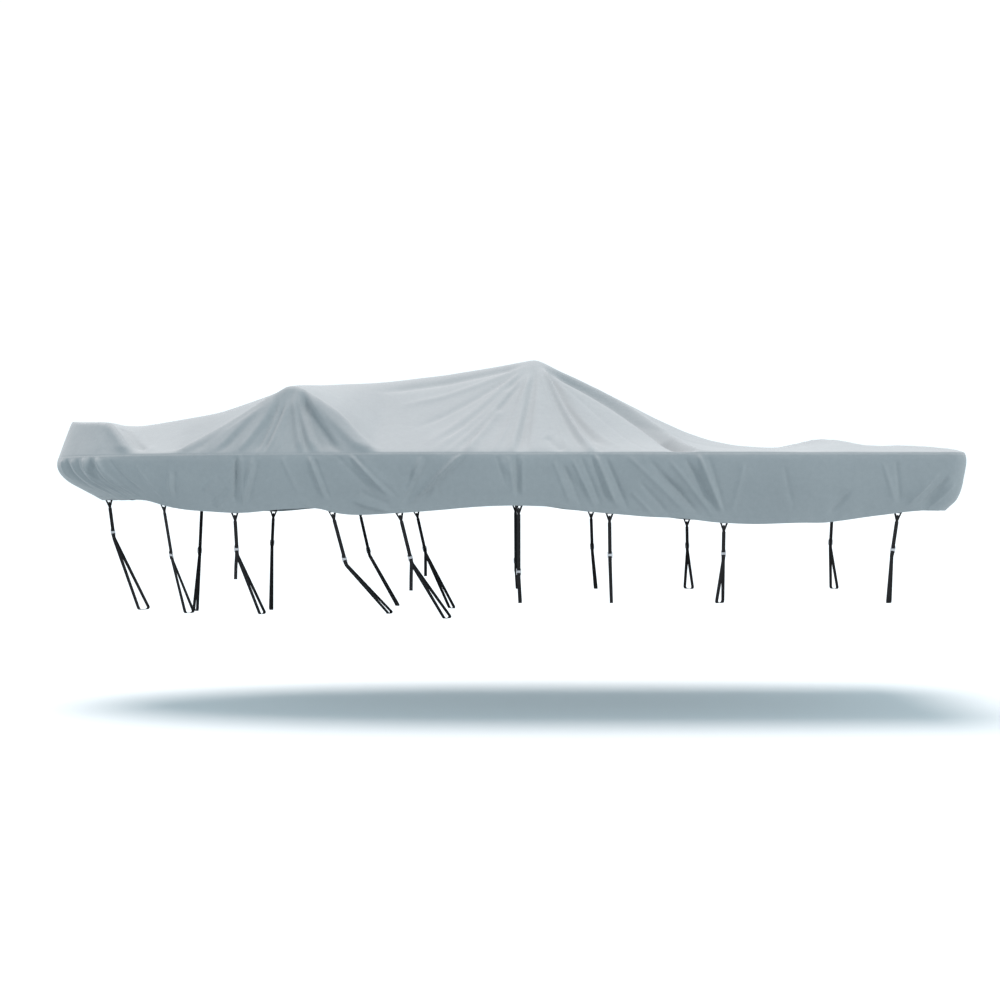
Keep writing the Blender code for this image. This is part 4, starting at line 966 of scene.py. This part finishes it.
class Look:
    """A material, built from its first nodes to its shader."""

    def __init__(self, name):
        self.material = bpy.data.materials.new(name)
        self.material.use_nodes = True
        self.tree = self.material.node_tree

    def feed(self, node, values):
        """Gives a node its settings and, by name, its inputs' values or what feeds them."""
        for key, value in values.items():
            name = key.replace("_", " ")
            if isinstance(value, bpy.types.NodeSocket):
                self.tree.links.new(value, node.inputs[name])
            elif name in node.inputs:
                node.inputs[name].default_value = value
            else:
                setattr(node, key, value)

    def add(self, kind, output, **values):
        """One output of a new node."""
        node = self.tree.nodes.new("ShaderNode" + kind)
        self.feed(node, values)
        return node.outputs[output]

    def noise(self, scale, detail, **values):
        """Smooth noise over the object."""
        place = self.add("TexCoord", "Object")
        return self.add("TexNoise", "Fac", Scale=scale, Detail=detail, Vector=place, **values)

    def ramp(self, factor, low, high, between=(0.0, 1.0)):
        """A colour that runs from low to high as a factor does between two values."""
        colour = self.add("ValToRGB", "Color", Fac=factor)
        for element, tone, place in zip(colour.node.color_ramp.elements, (low, high), between):
            element.color = (*tone, 1.0)
            element.position = place
        return colour

    def made(self, **values):
        """The material, with its shader's values and what feeds them."""
        self.feed(self.tree.nodes["Principled BSDF"], values)
        return self.material


def canvas_material():
    """Coated woven canvas: two woven directions, mottled colour, and slight creasing."""
    look = Look("canvas_cloth")
    cloth = look.add("UVMap", "UV", uv_map="cloth")
    tint = look.noise(1.1, 6.0, Roughness=0.62)
    slub = look.noise(26.0, 4.0, Roughness=0.7)
    tone = look.ramp(tint, (0.193, 0.225, 0.241), (0.216, 0.251, 0.267), (0.3, 0.72))
    patchy = look.ramp(slub, (0.93, 0.935, 0.94), (1.0, 1.0, 1.0), (0.32, 0.68))
    both = look.add("Math", "Value", operation="MULTIPLY")
    for index, way in enumerate("XY"):
        wave = look.add("TexWave", "Fac", bands_direction=way, Scale=WEAVE, Distortion=1.2,
                        Vector=cloth)
        look.tree.links.new(wave, both.node.inputs[index])
    weave = look.add("Bump", "Normal", Strength=0.3, Distance=0.0004, Height=both)
    crumple = look.noise(15.0, 6.0, Roughness=0.62)
    return look.made(
        Base_Color=look.add("Mix", "Result", data_type="RGBA", blend_type="MULTIPLY", Factor=1.0,
                            A=tone, B=patchy),
        Roughness=look.add("MapRange", "Result", To_Min=0.74, To_Max=0.9, Value=slub),
        Sheen_Weight=0.18, Sheen_Roughness=0.5, Specular_IOR_Level=0.3,
        Normal=look.add("Bump", "Normal", Strength=0.45, Distance=0.004, Height=crumple,
                        Normal=weave),
    )


def webbing_material():
    """Black woven webbing with slanting ribs, its colour painted darker in the grooves between the
    ribs as shade.
    """
    look = Look("webbing_cloth")
    cloth = look.add("UVMap", "UV", uv_map="cloth")
    wave = look.add("TexWave", "Fac", bands_direction="DIAGONAL", Scale=160.0, Distortion=0.6,
                    Vector=cloth)
    return look.made(
        # Base colour follows the ribs' relief: darker where the bump is low, a painted shade in
        # the grooves.
        Base_Color=look.ramp(wave, (0.003, 0.003, 0.0036), (0.010, 0.010, 0.0115)),
        Roughness=0.7, Specular_IOR_Level=0.2,
        Normal=look.add("Bump", "Normal", Strength=0.5, Distance=0.0006, Height=wave),
    )


def thread_material():
    """Sewing thread in the canvas's own colour, a little paler, with its twist."""
    look = Look("sewing_thread")
    twist = look.noise(1400.0, 2.0)
    tone = look.ramp(twist, (0.20, 0.23, 0.245), (0.26, 0.29, 0.305), (0.35, 0.65))
    return look.made(Base_Color=tone, Roughness=0.6)


def metal_material():
    """A plain coated steel slide with a fine grain."""
    look = Look("buckle_metal")
    grain, worn = look.noise(900.0, 3.0), look.noise(120.0, 4.0)
    return look.made(
        Base_Color=look.ramp(worn, (0.33, 0.34, 0.36), (0.48, 0.49, 0.51), (0.4, 0.6)),
        Roughness=look.add("MapRange", "Result", To_Min=0.28, To_Max=0.5, Value=grain),
        Metallic=1.0,
    )


# ---- cloth as fine grids

def waves(place, table):
    """Uneven swells at points: one layer of smooth noise for each row of a table."""
    total = np.zeros(len(place))
    for index, (length, rise) in enumerate(table.rows):
        layer = place / length + LAYER_SHIFT * (index + 1)
        total += rise * np.array([noise.noise(Vector(p)) for p in layer])
    return total


def flat_waves(x, y, table):
    """The same over points of the plan, so that the top sheet and the skirts pucker together."""
    return waves(np.column_stack([x, y, np.zeros_like(x)]), table)


def edge_round(x, y, away):
    """What rounds the cloth over the gunwale. away: length along the cloth from it."""
    step = 0.002
    way = np.column_stack([inset(x - step, y) - inset(x + step, y),
                           inset(x, y - step) - inset(x, y + step), np.zeros_like(x)])
    way /= np.maximum(np.linalg.norm(way, axis=1, keepdims=True), 1e-9)
    steep = section("steep", x)
    out = unit(unit(way * steep[:, None] + (0.0, 0.0, 1.0)) + way)
    turn = math.pi / 2 - np.arctan(steep)
    depth = EDGE_REACH * np.tan(turn / 2) / 2
    return -out * (depth * np.clip(1.0 - away / EDGE_REACH, 0.0, 1.0) ** 2)[:, None]


def placed(name, points, faces, material, sharp, uv=None):
    """A closed piece, facing out. uv: where each point lies on the flat cloth and its weave.

    sharp: edges that turn more than this, in degrees, stay sharp.
    """
    mesh = bpy.data.meshes.new(name)
    mesh.from_pydata(lower(points).tolist(), [], faces)
    if uv is not None:
        corners = np.empty(len(mesh.loops), int)
        mesh.loops.foreach_get("vertex_index", corners)
        layer = mesh.uv_layers.new(name="cloth")
        layer.data.foreach_set("uv", np.array(uv, float)[corners].ravel())
    bm = bmesh.new()
    bm.from_mesh(mesh)
    bmesh.ops.recalc_face_normals(bm, faces=bm.faces)
    bm.to_mesh(mesh)
    bm.free()
    mesh.materials.append(material)
    mesh.shade_smooth()
    mesh.set_sharp_from_angle(angle=math.radians(sharp))
    obj = linked(name, mesh)
    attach(obj, "root")
    return obj


def sheet_mesh(name, outer, inner, uv, material):
    """A thin closed sheet from two grids of points, the outer facing away."""
    rows, columns, _ = outer.shape
    count = rows * columns
    index = np.arange(count).reshape(rows, columns)
    faces = np.dstack([index[:-1, :-1], index[1:, :-1], index[1:, 1:], index[:-1, 1:]])
    faces = faces.reshape(-1, 4)
    rim = np.concatenate([index[0, :], index[1:, -1], index[-1, -2::-1], index[-2:0:-1, 0]])
    after = np.roll(rim, -1)
    walls = np.column_stack([rim, after, after + count, rim + count])
    shape = np.vstack([faces, faces[:, ::-1] + count, walls])
    points = np.concatenate([outer, inner]).reshape(-1, 3)
    flat = np.concatenate([uv, uv]).reshape(-1, 2)
    return placed(name, points, shape.tolist(), material, SHEET_SHARP, flat)


def grid_normals(points):
    """Normals of a grid of points."""
    return unit(np.cross(*np.gradient(points, axis=(0, 1))))


def top_stations():
    """Where the columns of the top sheet's grid cross the boat, close together at its two ends."""
    tip = BOW_X + BOW_FLAT
    nose = tip + NOSE_LENGTH * np.linspace(0.0, 1.0, NOSE_COLUMNS) ** 2
    run = [nose[-1]]
    corner = STERN_X - CORNER_RADIUS
    while run[-1] < corner:
        run.append(run[-1] + float(TOP_CELLS.straight("cell", run[-1])))
    turn = np.linspace(0.0, math.pi / 2, CORNER_COLUMNS)
    return np.concatenate([nose, run[1:-2], corner + CORNER_RADIUS * np.sin(turn)])


def top_rows(x):
    """Across one section: rows from port to starboard, and their lengths along the cloth."""
    y = half_width(x) * np.linspace(0.0, 1.0, SECTION_POINTS)
    rise = np.diff(taut_height(np.full_like(y, x), y))
    gone = np.concatenate([[0.0], np.cumsum(np.hypot(np.diff(y), rise))])
    edge = gone[-1] - np.array(TOP_EDGE[::-1])
    at = np.concatenate([np.linspace(0.0, edge[0], TOP_ROWS + 1)[:-1], edge])
    half = np.interp(at, gone, y)
    return np.concatenate([-half[:0:-1], half]), np.concatenate([-at[:0:-1], at])


def top_sheet(material):
    """The top sheet with its folds, creases and puckers."""
    stations = top_stations()
    rows = np.array([top_rows(x) for x in stations])
    y, across = rows[:, 0], rows[:, 1]
    x = np.repeat(stations[:, None], y.shape[1], axis=1)
    base = np.dstack([x, y, taut_height(x, y)])
    normal = grid_normals(base)
    normal *= np.sign(normal[:, :, 2:])
    finest = FINEST_CELLS * TOP_CELLS.straight("cell", x)
    relief = top_relief(x, y) + top_relief(x, y, TOP_CREASES, finest)
    away = inset(x, y)
    fade = soft_step(away, 0.0, EDGE_FADE)
    flat_x, flat_y = x.ravel(), y.ravel()
    relief += flat_waves(flat_x, flat_y, UNEVEN).reshape(x.shape) * fade
    pucker = flat_waves(flat_x, flat_y, PUCKERS).reshape(x.shape)
    relief += pucker * np.exp(-(away / SEAM_PUCKER_REACH) ** 2)
    outer = base + normal * relief[:, :, None]
    on_cloth = away * np.hypot(1.0, section("steep", x))
    outer += edge_round(flat_x, flat_y, on_cloth.ravel()).reshape(outer.shape)
    normal = grid_normals(outer)
    normal *= np.sign(normal[:, :, 2:])
    return sheet_mesh("cloth_top", outer, outer - CLOTH * normal, np.dstack([x, across]), material)


def grooves(away, rows):
    """How far rows of stitches draw the cloth in, at lengths from the edge that they follow."""
    return -GROOVE * sum(np.exp(-((away - row) / GROOVE_HALF) ** 2) for row in rows)


def skirt_faces(spot):
    """Outer and inner points of the sewn skirt, and its normals, at spots of it."""
    x, y = SEAM.point(spot[:, 0]).T
    depth = skirt_depth(x)
    down = spot[:, 1] * depth
    up = depth - down
    base, normal = skirt_point(spot), skirt_normal(spot)
    fade = soft_step(down, 0.0, EDGE_FADE)
    relief = skirt_relief(spot, SKIRT_CREASES, TRANSOM_CREASES, FINE_BREADTH, CREASE_FADE)
    pucker = flat_waves(x, y, PUCKERS)
    loose = calm_at_ties(spot, (0.0, *tie_seams()))
    at_hem = HEM_PUCKER * pucker * np.exp(-up / HEM_PUCKER_REACH)
    relief += loose * (waves(base, UNEVEN) * fade + at_hem)
    relief += pucker * np.exp(-(down / SEAM_PUCKER_REACH) ** 2)
    base = base + normal * relief[:, None] + edge_round(x, y, down)
    sewn = FELL_RISE * soft_step(down, 0.0, STEP_EASE)
    sewn *= 1.0 - soft_step(down, FELL_WIDTH, FELL_WIDTH + STEP_EASE)
    sewn += HEM_RISE * (1.0 - soft_step(up, HEM_WIDTH, HEM_WIDTH + STEP_EASE))
    sewn += grooves(down, SEAM_ROWS) + grooves(up, (HEM_ROW,))
    return base + normal * sewn[:, None], base - normal * CLOTH, normal


def skirt_sheet(name, first, last, material):
    """The skirt between two lengths along the seam."""
    along = np.linspace(first, last, math.ceil((last - first) / SKIRT_CELL) + 1)
    spots = []
    for at, depth in zip(along, skirt_depth(SEAM.point(along)[:, 0])):
        down = np.concatenate([
            SKIRT_EDGE, np.linspace(SKIRT_EDGE[-1], depth - HEM_EDGE[-1], SKIRT_ROWS + 1)[1:-1],
            depth - np.array(HEM_EDGE[::-1]),
        ])
        spots.append(np.column_stack([np.full(len(down), at), down / depth]))
    spots = np.array(spots)
    outer, inner, _ = skirt_faces(spots.reshape(-1, 2))
    shape = (*spots.shape[:2], 3)
    uv = spots * (1.0, NET_DEPTH)
    return sheet_mesh(name, outer.reshape(shape), inner.reshape(shape), uv, material)


# ---- stitches

def sewn_line(low, high):
    """Where stitches sit on a straight line of the laid-out skirt, and its way."""
    low, high = np.array(low), np.array(high)
    length = np.hypot(*(high - low))
    count = max(2, round(length / STITCH_PITCH))
    share = (np.arange(count) + 0.5) / count
    return low + (high - low) * share[:, None], np.tile((high - low) / length, (count, 1))


def stitches(name, places, ways, material):
    """Joined stitches, each a spindle of thread that lies on the skirt.

    places: length along the seam and height over the hem, or below 0 the depth under the gunwale.
    """
    def on_skirt(flat):
        depth = skirt_depth(SEAM.point(flat[:, 0])[:, 0])
        down = np.where(flat[:, 1] > 0.0, depth - flat[:, 1], -flat[:, 1])
        return skirt_faces(np.column_stack([flat[:, 0], down / depth]))
    length, half, rise = STITCH
    middle, _, normal = on_skirt(places)
    ahead = unit(on_skirt(places + ways * STITCH_PITCH / 2)[0] - middle)
    side = np.cross(ahead, normal)
    points = np.stack([middle - ahead * length / 2, middle + ahead * length / 2,
                       middle + side * half, middle + normal * rise, middle - side * half], axis=1)
    one = np.array([(0, 3, 2), (0, 4, 3), (0, 2, 4), (1, 2, 3), (1, 3, 4), (1, 4, 2)])
    faces = (one[None] + 5 * np.arange(len(middle))[:, None, None]).reshape(-1, 3)
    return placed(name, points.reshape(-1, 3), faces.tolist(), material, PIECE_SHARP)


def sewing(material):
    """The rows of stitches: two under the gunwale, one over the hem, a crossed box at each tab."""
    whole = SEAM.length
    gunwale = [sewn_line((0.0, -row), (whole, -row)) for row in SEAM_ROWS]
    hem = [sewn_line((STITCH_PITCH, HEM_ROW), (whole - STITCH_PITCH, HEM_ROW))]
    for along in tie_seams():
        for middle in (along, whole - along):
            a, b, c, d = [(middle + across, up) for across, up in box(*TAB_BOX)]
            hem += [sewn_line(*line) for line in ((a, b), (b, c), (c, d), (d, a), (a, c), (b, d))]
    return [stitches(name, *(np.vstack(column) for column in zip(*lines)), material)
            for name, lines in (("stitches_gunwale", gunwale), ("stitches_hem", hem))]


# ---- tie-downs

def rounded_path(rows):
    """The strap's rows with each corner eased."""
    def part_way(here, there):
        leg = there - here
        return here + leg * min(MOST_BENT, BEND / max(np.linalg.norm(leg), 1e-6))
    made = [rows[0]]
    for before, here, after in zip(rows, rows[1:], rows[2:]):
        start, end = part_way(here[0], before[0]), part_way(here[0], after[0])
        for t in (0.0, 0.25, 0.5, 0.75, 1.0):
            at = (1 - t) ** 2 * start + 2 * t * (1 - t) * here[0] + t ** 2 * end
            made.append((at, here[1], here[2]))
    return [*made, rows[-1]]


def webbing_strip(name, rows, material):
    """A flat woven strip with round edges, swept along its path."""
    path = np.array([row[0] for row in rows])
    legs = np.diff(path, axis=0)
    length = np.linalg.norm(legs, axis=1)
    legs /= length[:, None]
    into, away = np.vstack([legs[:1], legs]), np.vstack([legs, legs[-1:]])
    points = []
    for (at, width, across), one, two in zip(rows, into, away):
        tangent = unit(one + two)
        side = unit(across - tangent * np.dot(across, tangent))
        thick = np.cross(tangent, side) * WEBBING_THICK / 2
        thick /= max(np.dot(tangent, one), SHARPEST_BEND)
        points += [at + side * width * a / 2 + thick * b for a, b in STRIP]
    count = len(STRIP)
    end = len(points) - count
    faces = [tuple(range(count))[::-1], tuple(range(end, end + count))]
    for start in range(0, end, count):
        ring = [start + i for i in (*range(count), 0)]
        faces += [(a, b, b + count, a + count) for a, b in zip(ring, ring[1:])]
    gone = np.concatenate([[0.0], np.cumsum(length)])
    uv = [(a * WEBBING / 2, along) for along in gone for a, _ in STRIP]
    return placed(name, points, faces, material, PIECE_SHARP, uv)


def plate(name, points, faces, place, halves, material):
    """A flat plate from its net, with eased edges."""
    count = len(points)
    outer = [place(a, d, halves[0]) for a, d in points]
    inner = [place(a, d, halves[1]) for a, d in points]
    edges = [edge for a, b, c in faces for edge in ((a, b), (b, c), (c, a))]
    shape = [*faces, *((c + count, b + count, a + count) for a, b, c in faces)]
    shape += [(b, a, a + count, b + count) for a, b in edges if (b, a) not in edges]
    obj = placed(name, outer + inner, shape, material, PIECE_SHARP, points * 2)
    ease = obj.modifiers.new("ease", "BEVEL")
    ease.width = abs(halves[0] - halves[1]) * PLATE_EASE
    ease.segments = 2
    ease.limit_method = "ANGLE"
    return obj


def loop_piece(name, tie_frame, material):
    """The loop that a strap hangs from, with the tab that is sewn inside the hem."""
    half = LOOP_WIDTH / 2
    outline = [(-half, 0.0), *((a, -up) for a, up in tie_frame.tab_corners), (half, 0.0),
               (LOOP_TIP, LOOP_DROP), (-LOOP_TIP, LOOP_DROP)]
    top, bottom = LOOP_HOLE
    hole = [(half - LOOP_LEG, top), (0.0, bottom), (LOOP_LEG - half, top)]
    points, faces = plate_net(outline, [hole])

    def place(a, d, out):
        return tie_frame.at(a, d, out) if d > 0.0 else tie_frame.tab(a, -d, out)
    return plate(name, points, faces, place, (WEBBING_THICK / 2, -WEBBING_THICK / 2), material)


def buckle_piece(name, tie_frame, material):
    """The slide, a plate with a slot for each end of the strap."""
    width, height, thickness = BUCKLE
    half, rise = (size / 2 for size in BUCKLE_SLOT)
    slots = [box(half, at - rise, at + rise) for at in (-BUCKLE_SLOT_AT, BUCKLE_SLOT_AT)]
    points, faces = plate_net(box(width / 2, -height / 2, height / 2), slots)
    centre = tie_frame.length - BUCKLE_ABOVE

    def place(a, d, out):
        return tie_frame.at(a, centre + d, out)
    return plate(name, points, faces, place, (BUCKLE_BACK + thickness, BUCKLE_BACK), material)


def tie_down(tie, side, label, webbing, metal):
    """A loop, its strap and its slide, in place of their solids."""
    tie_frame = TieFrame(tie, side)
    rows = rounded_path(strap_path(tie, tie_frame, side))
    for made, solid, slot in (
        (loop_piece(f"webbing_loop_{label}", tie_frame, webbing), f"loop_{label}", "webbing"),
        (webbing_strip(f"webbing_strap_{label}", rows, webbing), f"strap_{label}", "webbing"),
        (buckle_piece(f"slide_{label}", tie_frame, metal), f"buckle_{label}", "buckle"),
    ):
        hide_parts(solid)


def dress():
    """Every visible piece, in place of its solid."""
    canvas, webbing, metal = canvas_material(), webbing_material(), metal_material()
    line = gunwale_line()
    corner_x = STERN_X - CORNER_RADIUS * (1.0 - math.sin(math.pi / 4))
    corner = SEAM.at[int(np.argmin(np.abs(line[:-1, 0] - corner_x)))]
    made = top_sheet(canvas)
    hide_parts("top_panel")
    for name, first, last, flat, area in (
        ("port", 0.0, corner, (0.54, 7.7), 3.66),
        ("starboard", SEAM.length - corner, SEAM.length, (0.54, 7.7), 3.66),
        ("transom", corner, SEAM.length - corner, (0.45, 2.4), 1.06),
    ):
        made = skirt_sheet(f"cloth_{name}", first, last, canvas)
        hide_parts(f"skirt_{name}")
    for made in sewing(thread_material()):
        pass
    tie_down(BOW_TIE, -1, "bow", webbing, metal)
    for side, name in ((-1, "port"), (1, "starboard")):
        for tie in TIES:
            tie_down(tie, side, f"{name}_{tie.name}", webbing, metal)


camera()
studio()
dress()
